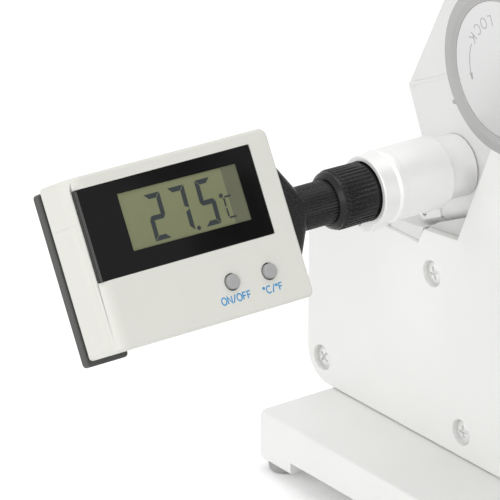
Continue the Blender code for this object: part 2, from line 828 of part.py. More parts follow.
HEAD_LEFT = telescope_point(HEAD_FACE, -HEAD_HALF_WIDTH)
HEAD_RIGHT = telescope_point(HEAD_FACE, HEAD_HALF_WIDTH)
SHOULDER = (NOTCH_X + NOTCH_RISE * cos(NOTCH_ANGLE), NOTCH_Z + NOTCH_RISE * sin(NOTCH_ANGLE))
COVER_SCREW_PLACES = (
    (NOTCH_X - NOTCH_SCREW_INSET, NOTCH_Z - NOTCH_SCREW_DROP),
    (LEFT_SCREW_INSET, LOW_SCREW_RISE),
    (MIDDLE_SCREW_X, LOW_SCREW_RISE),
    (BODY_FOOT_LENGTH - RIGHT_SCREW_INSET, LOW_SCREW_RISE),
    telescope_point(HEAD_FACE - HEAD_SCREW_DROP, HEAD_HALF_WIDTH - HEAD_SCREW_INSET),
)


def top_edge(x):
    """Height of the cover's sloping top edge."""
    return BODY_LEFT_HEIGHT + (NOTCH_Z - BODY_LEFT_HEIGHT) * x / NOTCH_X


def cover_outline():
    """Side cover, clockwise from the lower left corner."""
    return rounded([
        (0, 0, BODY_FOOT_RADIUS),
        (0, BODY_LEFT_HEIGHT, BODY_TOP_CORNER),
        (NOTCH_X, NOTCH_Z, 0),
        (*SHOULDER, BODY_TOP_CORNER),
        (*HEAD_LEFT, BODY_CORNER),
        (*HEAD_RIGHT, BODY_TOP_CORNER),
        (BODY_BACK_X, BODY_BACK_Z, BODY_FOOT_RADIUS),
        (BODY_FOOT_LENGTH, 0, BODY_CORNER),
    ])


# Base
BASE_END = BASE_OVERHANG + BASE_LENGTH
BASE_NEAR = BODY_MIDDLE - BASE_WIDTH / 2
BASE_FAR = BODY_MIDDLE + BASE_WIDTH / 2
BASE_TOP = -GAP
BASE_BOTTOM = BASE_TOP - BASE_HEIGHT
PAD_BOTTOM = BASE_BOTTOM - PAD_DEPTH
FOOT_PLACES = [
    (x, y)
    for x in (BASE_OVERHANG + FOOT_INSET, BASE_END - FOOT_INSET)
    for y in (BASE_NEAR + FOOT_INSET, BASE_FAR - FOOT_INSET)
]
BOLT_PLACES = [(BASE_BOLT_START + BASE_BOLT_PITCH * k, BODY_MIDDLE) for k in range(2)]


def make_base():
    outline = rectangle(BASE_OVERHANG, BASE_END, BASE_NEAR, BASE_FAR, BASE_CORNER)
    base = plate("base_plate", [outline], PAD_BOTTOM, BASE_TOP, PAINT, ROOT)
    edge = base.modifiers.new("edge", "BEVEL")
    edge.width = BASE_EDGE
    edge.segments = 2
    edge.limit_method = "ANGLE"
    edge.angle_limit = BREAK_ANGLE
    hollow_roof = BASE_TOP - BASE_TOP_WALL
    hollow = block(
        "base_hollow",
        (BASE_OVERHANG + BASE_WALL, BASE_NEAR + BASE_WALL, PAD_BOTTOM - OVERRUN),
        (BASE_END - BASE_WALL, BASE_FAR - BASE_WALL, hollow_roof),
        None,
        ROOT,
    )
    for x, y in FOOT_PLACES:
        keep = PAD_LENGTH / 2 + FOOT_INSET
        corner = rod(
            "pad_keep", keep, PAD_BOTTOM - OVERRUN * 2, BASE_TOP, None, ROOT, shift(x, y), SMALL_SIDES,
        )
        cut(hollow, corner)
    skirt_long = block(
        "base_skirt_long",
        (BASE_OVERHANG + PAD_LENGTH, BASE_NEAR - OVERRUN, PAD_BOTTOM - OVERRUN),
        (BASE_END - PAD_LENGTH, BASE_FAR + OVERRUN, BASE_BOTTOM),
        None,
        ROOT,
    )
    skirt_wide = block(
        "base_skirt_wide",
        (BASE_OVERHANG - OVERRUN, BASE_NEAR + PAD_LENGTH, PAD_BOTTOM - OVERRUN),
        (BASE_END + OVERRUN, BASE_FAR - PAD_LENGTH, BASE_BOTTOM),
        None,
        ROOT,
    )
    cut(base, hollow, skirt_long, skirt_wide)
    hole = FOOT_PEG_RADIUS + GAP
    for x, y in FOOT_PLACES:
        peg_roof = PAD_BOTTOM + FOOT_PEG_LENGTH + GAP
        cut(
            base,
            rod("peg_hole", hole, PAD_BOTTOM - OVERRUN, peg_roof, None, ROOT, shift(x, y), SMALL_SIDES),
        )
    hole = BOLT_SHANK + GAP
    for x, y in BOLT_PLACES:
        cut(
            base,
            rod("bolt_hole", hole, PAD_BOTTOM, BASE_TOP + OVERRUN, None, ROOT, shift(x, y), SMALL_SIDES),
        )


def make_feet():
    seat = PAD_BOTTOM - GAP
    floor = seat - FOOT_HEIGHT
    profile = [
        (0, PAD_BOTTOM + FOOT_PEG_LENGTH),
        (FOOT_PEG_RADIUS, PAD_BOTTOM + FOOT_PEG_LENGTH),
        (FOOT_PEG_RADIUS, seat),
        (FOOT_RADIUS, seat),
        (FOOT_RADIUS, floor + FOOT_EDGE),
        (FOOT_RADIUS - FOOT_EDGE, floor),
        (0, floor),
    ]
    pattern = turned("foot_pattern", profile, None, None, sides=SMALL_SIDES)
    repeat("rubber_foot", pattern, [shift(x, y) for x, y in FOOT_PLACES], RUBBER, ROOT)


def make_base_bolts():
    pattern = screw_pattern(
        "base_bolt_pattern", BOLT_HEAD, BOLT_HEAD_HEIGHT, BOLT_SHANK, BASE_BOLT_LENGTH, SCREW_CROWN
    )
    bearing = BASE_TOP - BASE_TOP_WALL - GAP
    places = [shift(x, y, bearing) @ turn(pi, "X") for x, y in BOLT_PLACES]
    repeat("base_bolt", pattern, places, STEEL, ROOT)


# Body
def window_outline(margin):
    """Notch for the scale window; the window itself is smaller by a margin at its right and foot."""
    slope = (WINDOW_TOP_END - WINDOW_LOW_END) / (top_edge(WINDOW_TOP_END) - WINDOW_LOW)
    low = WINDOW_LOW + margin
    left_top = top_edge(WINDOW_LOW_START)
    right_low = WINDOW_LOW_END - margin + slope * margin
    right_top = WINDOW_TOP_END - margin
    return low, left_top, right_low, right_top


def wall_bolt_place():
    """Place of the bolt that holds the prism block, in the solid end of the block."""
    solid_start = GLASS_START + GLASS_LENGTH
    return (solid_start + BLOCK_START + BLOCK_LENGTH) / 2


def make_frame():
    """Body casting: a wall all round, the far side wall and bosses for the screws of the side cover."""
    wall_line = BLOCK_START + BLOCK_LENGTH + GAP
    seat_line = -(BLOCK_DEPTH + GAP)
    top_end = COVER_SCREW_PLACES[0][0] + BOSS_WEB_WIDTH / 2
    corners = [
        (0, 0, BODY_FOOT_RADIUS),
        (0, BODY_LEFT_HEIGHT, BODY_TOP_CORNER),
        (top_end, top_edge(top_end), 0),
        (*prism_point(SEAT_START, seat_line), 0),
        (*prism_point(wall_line, seat_line), 0),
        (*prism_point(wall_line, LOCK_Z - EAR_RADIUS - BODY_CORNER), 0),
        (*HEAD_LEFT, BODY_CORNER),
        (*HEAD_RIGHT, BODY_TOP_CORNER),
        (BODY_BACK_X, BODY_BACK_Z, BODY_FOOT_RADIUS),
        (BODY_FOOT_LENGTH, 0, BODY_CORNER),
    ]
    cavity = inset([(x, z) for x, z, _ in corners], -BODY_WALL)
    lap = FAR_WALL / 2
    frame = side_plate(
        "body_frame", [rounded(corners), cavity], COVER_INSIDE, FAR_WALL_INSIDE + lap, PAINT, ROOT,
    )
    join(frame, side_plate("far_wall", [cover_outline()], FAR_WALL_INSIDE, BODY_WIDTH, None, ROOT))
    for x, z in COVER_SCREW_PLACES:
        join(frame, cross_rod("boss", BOSS_RADIUS, x, z, COVER_INSIDE, FAR_WALL_INSIDE + lap, None, ROOT))
    web_x, web_z = COVER_SCREW_PLACES[0]
    web = block(
        "boss_web",
        (web_x - BOSS_WEB_WIDTH / 2, COVER_INSIDE, web_z),
        (web_x + BOSS_WEB_WIDTH / 2, FAR_WALL_INSIDE + lap, top_edge(web_x) - BODY_WALL / 2),
        None,
        ROOT,
    )
    join(frame, web)
    gap_low = seat_line - BODY_WALL * 2
    opening = block(
        "light_opening",
        (0, -OVERRUN, gap_low),
        (SEAT_START, FAR_WALL_INSIDE, seat_line + BODY_WALL),
        None,
        PRISM_FRAME,
    )
    beam = block(
        "beam_opening",
        (GLASS_START + GLASS_FOOT, BODY_MIDDLE - GLASS_WIDTH / 2, gap_low),
        (BEAM_END, BODY_MIDDLE + GLASS_WIDTH / 2, seat_line + OVERRUN),
        None,
        PRISM_FRAME,
    )
    cut(frame, opening, beam)
    hole = COVER_SCREW_SHANK + GAP
    deep = COUNTERBORE_DEPTH + COVER_SCREW_LENGTH + GAP
    for x, z in COVER_SCREW_PLACES:
        cut(frame, cross_rod("screw_drill", hole, x, z, 0, deep, None, ROOT))
    seat_drill = rod(
        "seat_drill",
        BOLT_SHANK + GAP,
        gap_low,
        seat_line + OVERRUN,
        None,
        PRISM_FRAME,
        shift(wall_bolt_place(), BODY_MIDDLE),
        SMALL_SIDES,
    )
    cut(frame, seat_drill)
    for x, y in BOLT_PLACES:
        cut(
            frame,
            rod(
                "base_drill",
                BOLT_SHANK + GAP,
                -OVERRUN,
                BODY_WALL + OVERRUN,
                None,
                ROOT,
                shift(x, y),
                SMALL_SIDES,
            ),
        )
    neck = rod(
        "head_bore",
        OBJECTIVE_RADIUS + GAP,
        HEAD_FACE - BODY_WALL * 2,
        HEAD_FACE + OVERRUN,
        None,
        TELESCOPE,
    )
    cut(frame, neck, window_cutter("window_pocket", -OVERRUN, WINDOW_DEPTH + GAP))
    bottom = FAR_WALL_INSIDE + SOCKET_DEPTH
    cut(
        frame,
        cross_rod(
            "pivot_seat",
            PIVOT_RADIUS + GAP,
            PIVOT_X,
            PIVOT_Z,
            FAR_WALL_INSIDE - OVERRUN,
            bottom,
            None,
            ROOT,
        ),
    )
    shaft_seat = cross_rod(
        "shaft_seat",
        SCALE_SHAFT_RADIUS + GAP,
        SCALE_KNOB_X,
        SCALE_KNOB_Z,
        FAR_WALL_INSIDE - OVERRUN,
        bottom,
        None,
        ROOT,
    )
    cut(frame, shaft_seat)


def window_cutter(name, near, far):
    """Cutter for the scale window's notch, open at the top edge."""
    low, left_top, right_low, right_top = window_outline(0)
    above = left_top + OVERRUN * 2
    outline = [
        (WINDOW_LOW_START, low),
        (right_low, low),
        (right_top + OVERRUN, above),
        (WINDOW_LOW_START, above),
    ]
    return side_plate(name, [outline], near, far, None, ROOT)


def make_cover():
    """Side cover with counterbored screw holes, a blind seat for the pivot and a hole for the shaft."""
    cover = side_plate("side_cover", [cover_outline()], 0, COVER_THICKNESS, PAINT, ROOT)
    through = COVER_THICKNESS + OVERRUN
    for x, z in COVER_SCREW_PLACES:
        cut(cover, cross_rod("screw_hole", COVER_SCREW_SHANK + GAP, x, z, -OVERRUN, through, None, ROOT))
        cut(
            cover,
            cross_rod("counterbore", COUNTERBORE_RADIUS, x, z, -OVERRUN, COUNTERBORE_DEPTH, None, ROOT),
        )
    seat = COVER_THICKNESS - SOCKET_DEPTH
    cut(cover, cross_rod("pivot_hole", PIVOT_RADIUS + GAP, PIVOT_X, PIVOT_Z, seat, through, None, ROOT))
    cut(
        cover,
        cross_rod(
            "shaft_hole",
            SCALE_SHAFT_RADIUS + GAP,
            SCALE_KNOB_X,
            SCALE_KNOB_Z,
            -OVERRUN,
            through,
            None,
            ROOT,
        ),
    )
    cut(cover, window_cutter("window_slot", -OVERRUN, through))


def make_cover_screws():
    pattern = screw_pattern(
        "cover_screw_pattern",
        COVER_SCREW_HEAD,
        COVER_SCREW_HEAD_HEIGHT,
        COVER_SCREW_SHANK,
        COVER_SCREW_LENGTH,
        SCREW_CROWN,
        (SCREW_CROSS_LENGTH / 2, SCREW_CROSS_WIDTH / 2, SCREW_CROSS_DEPTH),
    )
    places = [shift(x, COUNTERBORE_DEPTH - GAP, z) @ turn(pi / 2, "X") for x, z in COVER_SCREW_PLACES]
    repeat("cover_screw", pattern, places, STEEL, ROOT)


def make_window():
    low, left_top, right_low, right_top = window_outline(GAP)
    top_right = top_edge(right_top)
    outline = [(WINDOW_LOW_START + GAP, low), (right_low, low), (right_top, top_right),
               (WINDOW_LOW_START + GAP, top_edge(WINDOW_LOW_START + GAP))]
    side_plate("scale_window", [outline], WINDOW_SINK, WINDOW_DEPTH, FROSTED, ROOT)


# Prism block
def bevel_sides(made, edge_points):
    """Long shallow bevels round the two side faces, along the given edges of the outline."""
    slant = hypot(SIDE_BEVEL_IN, SIDE_BEVEL_DEEP)
    across = SIDE_BEVEL_IN / slant
    outward_share = SIDE_BEVEL_DEEP / slant
    for (x, z), (out_x, out_z) in edge_points:
        for side, sign in ((BLOCK_SIDE, -1), (BLOCK_FAR_SIDE, 1)):
            point = (x, side - sign * SIDE_BEVEL_DEEP, z)
            outward = (out_x * outward_share, sign * across, out_z * outward_share)
            trim(made, point, outward)


def extruded(name, outline, surface, parent):
    """Convex outline drawn in X and Z, as wide as the prism block, as a plain mesh."""
    made = side_plate(name, [outline], BLOCK_SIDE, BLOCK_FAR_SIDE, surface, parent)
    made.data.transform(UPRIGHT)
    made.matrix_local = Matrix()
    return made


def knuckle_spans():
    """Lower knuckle, upper knuckle, lower knuckle, as spans across the block."""
    first = BLOCK_SIDE + KNUCKLE_INSET
    last = BLOCK_FAR_SIDE - KNUCKLE_INSET
    return (
        (first, first + KNUCKLE_LENGTH),
        (first + KNUCKLE_LENGTH + GAP, last - KNUCKLE_LENGTH - GAP),
        (last - KNUCKLE_LENGTH, last),
    )


def refracting_outline(grow):
    """Section of the measuring prism's glass."""
    left = GLASS_START - grow
    right = GLASS_START + GLASS_LENGTH + grow
    top = -PARTING_HALF_GAP - GAP
    return [
        (left, top),
        (left, -GLASS_DEPTH - grow),
        (GLASS_START + GLASS_FOOT, -GLASS_DEPTH - grow),
        (right, -GLASS_LIP - PARTING_HALF_GAP),
        (right, top),
    ]


def make_lower_housing():
    left = BLOCK_START
    right = BLOCK_START + BLOCK_LENGTH
    top = -PARTING_HALF_GAP
    outline = rounded([
        (left, top, 0), (left, -BLOCK_DEPTH, BLOCK_CORNER), (right, -BLOCK_DEPTH, 0), (right, top, 0)
    ])
    housing = extruded("lower_prism_housing", outline, SATIN, PRISM_FRAME)
    bevel_sides(housing, [((left, top), (-1, 0)), ((left, -BLOCK_DEPTH), (0, -1))])
    ear = rounded([
        (EAR_START - BLOCK_CORNER, LOCK_Z - EAR_RADIUS, 0),
        (LOCK_X + EAR_RADIUS, LOCK_Z - EAR_RADIUS, EAR_RADIUS - GAP),
        (LOCK_X + EAR_RADIUS, LOCK_Z + EAR_RADIUS, EAR_RADIUS - GAP),
        (EAR_START, LOCK_Z + EAR_RADIUS, 0),
        (EAR_START, LOCK_Z, 0),
        (EAR_START - BLOCK_CORNER, LOCK_Z, 0),
    ])
    for near in (BLOCK_SIDE + GAP, BLOCK_FAR_SIDE - GAP - EAR_THICKNESS):
        join(housing, side_plate("ear", [ear], near, near + EAR_THICKNESS, None, PRISM_FRAME))
    lower_a, upper, lower_b = knuckle_spans()
    relief = KNUCKLE_RADIUS + GAP
    cut(
        housing,
        cross_rod("upper_relief", relief, 0, 0, upper[0] - GAP, upper[1] + GAP, None, PRISM_FRAME),
    )
    for near, far in (lower_a, lower_b):
        join(housing, cross_rod("lower_knuckle", KNUCKLE_RADIUS, 0, 0, near, far, None, PRISM_FRAME))
    pocket_top = top + OVERRUN
    pocket = block(
        "glass_pocket",
        (GLASS_START - GAP, BODY_MIDDLE - GLASS_WIDTH / 2 - GAP, -GLASS_DEPTH - GAP),
        (GLASS_START + GLASS_LENGTH + GAP, BODY_MIDDLE + GLASS_WIDTH / 2 + GAP, pocket_top),
        None,
        PRISM_FRAME,
    )
    beam = block(
        "beam_way",
        (GLASS_START + LEDGE, BODY_MIDDLE - GLASS_WIDTH / 2 + GAP, -BLOCK_DEPTH - OVERRUN),
        (BEAM_END, BODY_MIDDLE + GLASS_WIDTH / 2 - GAP, pocket_top),
        None,
        PRISM_FRAME,
    )
    port = block(
        "front_port",
        (-OVERRUN, BODY_MIDDLE - FRONT_PORT_WIDTH / 2, -FRONT_PORT_LOW),
        (GLASS_START, BODY_MIDDLE + FRONT_PORT_WIDTH / 2, -FRONT_PORT_HIGH),
        None,
        PRISM_FRAME,
    )
    cut(housing, pocket, beam, port)
    pin_hole = HINGE_PIN_RADIUS + GAP
    near, far = lower_a[0] - GAP * 2, lower_b[1] + GAP * 2
    cut(housing, cross_rod("hinge_hole", pin_hole, 0, 0, near, far, None, PRISM_FRAME))
    shaft_hole = LOCK_SHAFT_RADIUS + GAP
    cut(
        housing,
        cross_rod(
            "lock_hole", shaft_hole, LOCK_X, LOCK_Z, -OVERRUN, BODY_WIDTH + OVERRUN, None, PRISM_FRAME,
        ),
    )
    stub_hole = SOCKET_STUB_RADIUS + GAP
    cut(
        housing,
        cross_rod(
            "socket_hole",
            stub_hole,
            STEM_X,
            STEM_Z,
            0,
            SOCKET_STUB_END + GAP,
            None,
            PRISM_FRAME,
            ROUND_SIDES,
        ),
    )
    for k in range(2):
        cut(housing, nozzle_hole(LOWER_NOZZLE_X + NOZZLE_PITCH * k, LOWER_NOZZLE_Z, PRISM_FRAME))
    roof = BLOCK_BOLT_LENGTH - BLOCK_DEPTH - GAP - BODY_WALL
    bolt_hole = rod(
        "bolt_drill",
        BOLT_SHANK + GAP,
        -BLOCK_DEPTH - OVERRUN,
        roof,
        None,
        PRISM_FRAME,
        shift(wall_bolt_place(), BODY_MIDDLE),
        SMALL_SIDES,
    )
    cut(housing, bolt_hole)
    ear_left, ear_right = REFLECTOR_X - REFLECTOR_EAR_RADIUS, left + SIDE_BEVEL_DEEP
    ear_low, ear_high = REFLECTOR_Z - REFLECTOR_EAR_RADIUS, REFLECTOR_Z + REFLECTOR_EAR_RADIUS
    round_end = REFLECTOR_EAR_RADIUS - GAP
    bar = rounded([
        (ear_left, ear_low, round_end),
        (ear_right, ear_low, 0),
        (ear_right, ear_high, 0),
        (ear_left, ear_high, round_end),
    ])
    for near in (BLOCK_SIDE + GAP, BLOCK_FAR_SIDE - GAP - REFLECTOR_EAR):
        join(housing, side_plate("reflector_ear", [bar], near, near + REFLECTOR_EAR, None, PRISM_FRAME))
    pivot_hole = cross_rod(
        "reflector_hole",
        REFLECTOR_PIN_RADIUS + GAP,
        REFLECTOR_X,
        REFLECTOR_Z,
        -OVERRUN,
        BODY_WIDTH + OVERRUN,
        None,
        PRISM_FRAME,
    )
    cut(housing, pivot_hole)


def nozzle_hole(x, z, parent):
    stub = BLOCK_FAR_SIDE - NOZZLE_STUB
    return cross_rod("nozzle_hole", NOZZLE_RADIUS + GAP, x, z, stub, BODY_WIDTH + OVERRUN, None, parent)


def make_refracting_prism():
    near = BODY_MIDDLE - GLASS_WIDTH / 2
    side_plate("refracting_prism", [refracting_outline(0)], near, near + GLASS_WIDTH, GLASS, PRISM_FRAME)


def lighting_outline(grow):
    """Section of the lighting prism's glass, whose entry face runs along the sloped wall."""
    foot = PARTING_HALF_GAP + GAP
    rise = tan(UPPER_SLOPE)
    drop = LIGHT_GLASS_INSET / cos(UPPER_SLOPE) - grow / cos(UPPER_SLOPE)
    left_top = BLOCK_START + (LIGHT_GLASS_TOP + grow + drop) / rise
    right = GLASS_START + GLASS_LENGTH + grow
    return [
        (BLOCK_START + (foot + drop) / rise, foot),
        (right, foot),
        (right, foot + LIGHT_GLASS_SIDE),
        (left_top + LIGHT_GLASS_SIDE, LIGHT_GLASS_TOP + grow),
        (left_top, LIGHT_GLASS_TOP + grow),
    ]


def make_upper_housing():
    foot = PARTING_HALF_GAP
    rise = tan(UPPER_SLOPE)
    left = BLOCK_START + foot / rise
    right = BLOCK_START + UPPER_LENGTH
    ridge = BLOCK_START + UPPER_HEIGHT / rise
    outline = [(left, foot), (right, foot), (right, UPPER_HEIGHT), (ridge, UPPER_HEIGHT)]
    housing = extruded("upper_prism_housing", outline, SATIN, PRISM_HINGE)
    slope_out = (-sin(UPPER_SLOPE), cos(UPPER_SLOPE))
    bevel_sides(
        housing, [((left, foot), slope_out), ((ridge, UPPER_HEIGHT), (0, 1)), ((right, foot), (1, 0))],
    )
    lower_a, upper, lower_b = knuckle_spans()
    relief = KNUCKLE_RADIUS + GAP
    for near, far in (lower_a, lower_b):
        cut(housing, cross_rod("lower_relief", relief, 0, 0, near - GAP, far + GAP, None, PRISM_HINGE))
    join(housing, cross_rod("upper_knuckle", KNUCKLE_RADIUS, 0, 0, *upper, None, PRISM_HINGE))
    near = BODY_MIDDLE - GLASS_WIDTH / 2 - GAP
    far = BODY_MIDDLE + GLASS_WIDTH / 2 + GAP
    pocket = lighting_outline(GAP)
    low_left, low_right = pocket[0], pocket[1]
    pocket = [(low_left[0], foot - OVERRUN), (low_right[0], foot - OVERRUN), *pocket[2:], low_left]
    cut(housing, side_plate("light_pocket", [pocket], near, far, None, PRISM_HINGE))
    port = block(
        "light_port",
        (LIGHT_PORT_START, BODY_MIDDLE - LIGHT_PORT_WIDTH / 2, -LIGHT_GLASS_INSET - GAP),
        (LIGHT_PORT_START + LIGHT_PORT_LENGTH, BODY_MIDDLE + LIGHT_PORT_WIDTH / 2, OVERRUN),
        None,
        SLOPE_FRAME,
    )
    cut(housing, port)
    lug = SHIELD_LUG_RADIUS
    bar = rounded([
        (SHIELD_AXIS_X - lug, -lug, 0),
        (SHIELD_AXIS_X + lug, -lug, 0),
        (SHIELD_AXIS_X + lug, SHIELD_AXIS_Z + lug, lug - GAP),
        (SHIELD_AXIS_X - lug, SHIELD_AXIS_Z + lug, lug - GAP),
    ])
    for near in shield_lugs():
        join(housing, side_plate("shield_lug", [bar], near, near + SHIELD_LUG_WIDTH, None, SLOPE_FRAME))
    join_striker(housing, right)
    pin_hole = HINGE_PIN_RADIUS + GAP
    near, far = lower_a[0] - GAP * 2, lower_b[1] + GAP * 2
    cut(housing, cross_rod("hinge_hole_upper", pin_hole, 0, 0, near, far, None, PRISM_HINGE))
    lug_hole = cross_rod(
        "lug_hole",
        SHIELD_PIN + GAP,
        SHIELD_AXIS_X,
        SHIELD_AXIS_Z,
        -OVERRUN,
        BODY_WIDTH + OVERRUN,
        None,
        SLOPE_FRAME,
    )
    cut(housing, lug_hole)
    for k in range(2):
        cut(housing, nozzle_hole(UPPER_NOZZLE_X + NOZZLE_PITCH * k, UPPER_NOZZLE_Z, PRISM_HINGE))


def join_striker(housing, end_face):
    """Two cheeks with a bar between them, which the lock's hook holds."""
    inner = HOOK_WIDTH / 2 + GAP * 2
    outer = inner + STRIKER_CHEEK
    for near, far in ((-outer, -inner), (inner, outer)):
        cheek = block(
            "striker_cheek",
            (end_face - OVERRUN, BODY_MIDDLE + near, STRIKER_LOW),
            (end_face + STRIKER_REACH, BODY_MIDDLE + far, STRIKER_HIGH),
            None,
            PRISM_HINGE,
        )
        join(housing, cheek)
    reach = (inner + outer) / 2
    near, far = BODY_MIDDLE - reach, BODY_MIDDLE + reach
    join(
        housing,
        cross_rod(
            "striker_bar", STRIKER_PIN_RADIUS, STRIKER_PIN_X, STRIKER_PIN_Z, near, far, None, PRISM_HINGE,
        ),
    )


def shield_lugs():
    """Near sides of the two lugs beside the shield's barrel."""
    half = SHIELD_WIDTH / 2 + GAP
    return (BODY_MIDDLE - half - SHIELD_LUG_WIDTH, BODY_MIDDLE + half)


def make_lighting_prism():
    near = BODY_MIDDLE - GLASS_WIDTH / 2
    side_plate("lighting_prism", [lighting_outline(0)], near, near + GLASS_WIDTH, GLASS, PRISM_HINGE)


def make_hinge_pin():
    lower_a, _, lower_b = knuckle_spans()
    ends = (lower_a[0] + GAP, lower_b[1] - GAP)
    cross_rod("hinge_pin", HINGE_PIN_RADIUS, 0, 0, *ends, STEEL, PRISM_FRAME)


def make_shield():
    """Flap over the light port, turning on two pins of its own."""
    near = BODY_MIDDLE - SHIELD_WIDTH / 2
    far = near + SHIELD_WIDTH
    bar = SHIELD_BARREL
    top = SHIELD_THICKNESS - bar
    start = -bar - SHIELD_LENGTH
    flap = block("light_shield", (start, near, -bar), (0, far, top), BLACK_METAL, SHIELD_HINGE)
    reach = SHIELD_LUG_WIDTH
    grip = rod(
        "shield_grip",
        SHIELD_GRIP_RADIUS / 2,
        top - SHIELD_THICKNESS / 2,
        top + SHIELD_GRIP_HEIGHT,
        None,
        SHIELD_HINGE,
        shift(start + SHIELD_GRIP_PLACE, BODY_MIDDLE),
        SMALL_SIDES,
        SHIELD_GRIP_RADIUS,
    )
    join(
        flap,
        cross_rod("shield_barrel", bar, 0, 0, near, far, None, SHIELD_HINGE),
        cross_rod("shield_pins", SHIELD_PIN, 0, 0, near - reach, far + reach, None, SHIELD_HINGE),
        grip,
    )


def make_reflector():
    """Tilting mirror: a frame on a cross bar whose ends turn in the ears of the lower housing."""
    near = BODY_MIDDLE - REFLECTOR_WIDTH / 2
    far = near + REFLECTOR_WIDTH
    thick = REFLECTOR_THICKNESS / 2
    rim = REFLECTOR_RIM
    foot = REFLECTOR_BAR_RADIUS + rim
    frame = block(
        "reflector_frame", (-thick, near, 0), (thick, far, REFLECTOR_LENGTH), SATIN, REFLECTOR_PIVOT,
    )
    pin_near, pin_far = BLOCK_SIDE + GAP * 2, BLOCK_FAR_SIDE - GAP * 2
    bar_near, bar_far = pin_near + REFLECTOR_EAR, pin_far - REFLECTOR_EAR
    join(
        frame,
        cross_rod("reflector_bar", REFLECTOR_BAR_RADIUS, 0, 0, bar_near, bar_far, None, REFLECTOR_PIVOT),
        cross_rod("reflector_pins", REFLECTOR_PIN_RADIUS, 0, 0, pin_near, pin_far, None, REFLECTOR_PIVOT),
    )
    floor = thick - REFLECTOR_RECESS
    recess = block(
        "mirror_recess",
        (floor - GAP, near + rim, foot),
        (thick + OVERRUN, far - rim, REFLECTOR_LENGTH - rim),
        None,
        REFLECTOR_PIVOT,
    )
    cut(frame, recess)
    block(
        "reflector_mirror",
        (floor, near + rim + GAP, foot + GAP),
        (thick - GAP, far - rim - GAP, REFLECTOR_LENGTH - rim - GAP),
        MIRROR,
        REFLECTOR_PIVOT,
    )


def make_nozzles(name, x, z, parent):
    """Brass plate with two barbed nozzles, on the far side of a housing."""
    length = NOZZLE_LENGTH
    thickness = MANIFOLD_THICKNESS
    half = MANIFOLD_HALF_HEIGHT
    seat = -(BLOCK_FAR_SIDE + GAP)
    outline = rounded([
        (x - half, z - half, half - GAP),
        (x + NOZZLE_PITCH + half, z - half, half - GAP),
        (x + NOZZLE_PITCH + half, z + half, half - GAP),
        (x - half, z + half, half - GAP),
    ])
    middles = [x, x + NOZZLE_PITCH]
    room = (NOZZLE_BORE + NOZZLE_RADIUS) / 2
    holes = [circle(room, SMALL_SIDES, middle, z) for middle in middles]
    manifold = plate(name, [outline, *holes], seat - thickness, seat, BRASS, parent, UPRIGHT)
    barb = [
        (NOZZLE_BORE, length),
        (NOZZLE_RADIUS, length),
        (NOZZLE_BARB, length - NOZZLE_STUB),
        (NOZZLE_RADIUS, length - NOZZLE_STUB),
        (NOZZLE_BARB, length - NOZZLE_STUB * 2),
        (NOZZLE_RADIUS, length - NOZZLE_STUB * 2),
        (NOZZLE_RADIUS, GAP - NOZZLE_STUB),
        (NOZZLE_BORE, GAP - NOZZLE_STUB),
    ]
    for middle in middles:
        place = shift(middle, -seat, z) @ turn(-pi / 2, "X")
        join(manifold, turned(name + "_barb", barb, None, parent, place, SMALL_SIDES, closed=True))


def make_block_bolt():
    bolt = screw_pattern(
        "block_bolt", BOLT_HEAD, BOLT_HEAD_HEIGHT, BOLT_SHANK, BLOCK_BOLT_LENGTH, SCREW_CROWN,
    )
    place = shift(wall_bolt_place(), BODY_MIDDLE, -(BLOCK_DEPTH + GAP) - BODY_WALL - GAP) @ turn(pi, "X")
    repeat("block_bolt", bolt, [place], STEEL, PRISM_FRAME)


# Lock
def make_lock():
    face, back = KNOB_FACE, KNOB_BACK
    recess = KNOB_DISC_THICKNESS + KNOB_DISC_SINK + GAP
    edge = KNOB_EDGE
    bore = LOCK_SHAFT_RADIUS + GAP
    inner = KNOB_DISC_RADIUS + GAP
    profile = [
        (bore, face - recess),
        (inner, face - recess),
        (inner, face),
        (KNOB_RADIUS - edge, face),
        (KNOB_RADIUS - edge / 4, face - edge / 3),
        (KNOB_RADIUS, face - edge),
        (KNOB_RADIUS, back + edge),
        (KNOB_RADIUS - edge, back),
        (bore, back),
    ]
    turned("lock_knob_rim", profile, KNOB_RUBBER, LOCK_AXIS, UPRIGHT, FINE_SIDES, closed=True)
    disc_face = face - KNOB_DISC_SINK
    rod(
        "lock_knob_disc",
        KNOB_DISC_RADIUS,
        disc_face - KNOB_DISC_THICKNESS,
        disc_face,
        KNOB_SILVER,
        LOCK_AXIS,
        UPRIGHT,
        FINE_SIDES,
    )
    shaft_end = -(BLOCK_FAR_SIDE - GAP)
    shaft_profile = [
        (0, face - recess - GAP),
        (LOCK_SHAFT_RADIUS, face - recess - GAP),
        (LOCK_SHAFT_RADIUS, back - GAP),
        (LOCK_COLLAR_RADIUS, back - GAP),
        (LOCK_COLLAR_RADIUS, -BLOCK_SIDE),
        (LOCK_SHAFT_RADIUS, -BLOCK_SIDE),
        (LOCK_SHAFT_RADIUS, shaft_end),
        (0, shaft_end),
    ]
    shaft = turned("lock_shaft", shaft_profile, STEEL, LOCK_AXIS, UPRIGHT, SMALL_SIDES)
    steps = ARC_STEPS * 2
    hook = arc(HOOK_HUB_RADIUS, HOOK_WEB, HOOK_START + 2 * pi, SMALL_SIDES)
    hook += arc(HOOK_OUTER, HOOK_START, HOOK_END, steps)
    hook += arc(HOOK_INNER, HOOK_END, HOOK_WEB, steps)
    half = HOOK_WIDTH / 2
    join(shaft, side_plate("hook", [hook], BODY_MIDDLE - half, BODY_MIDDLE + half, None, LOCK_AXIS))


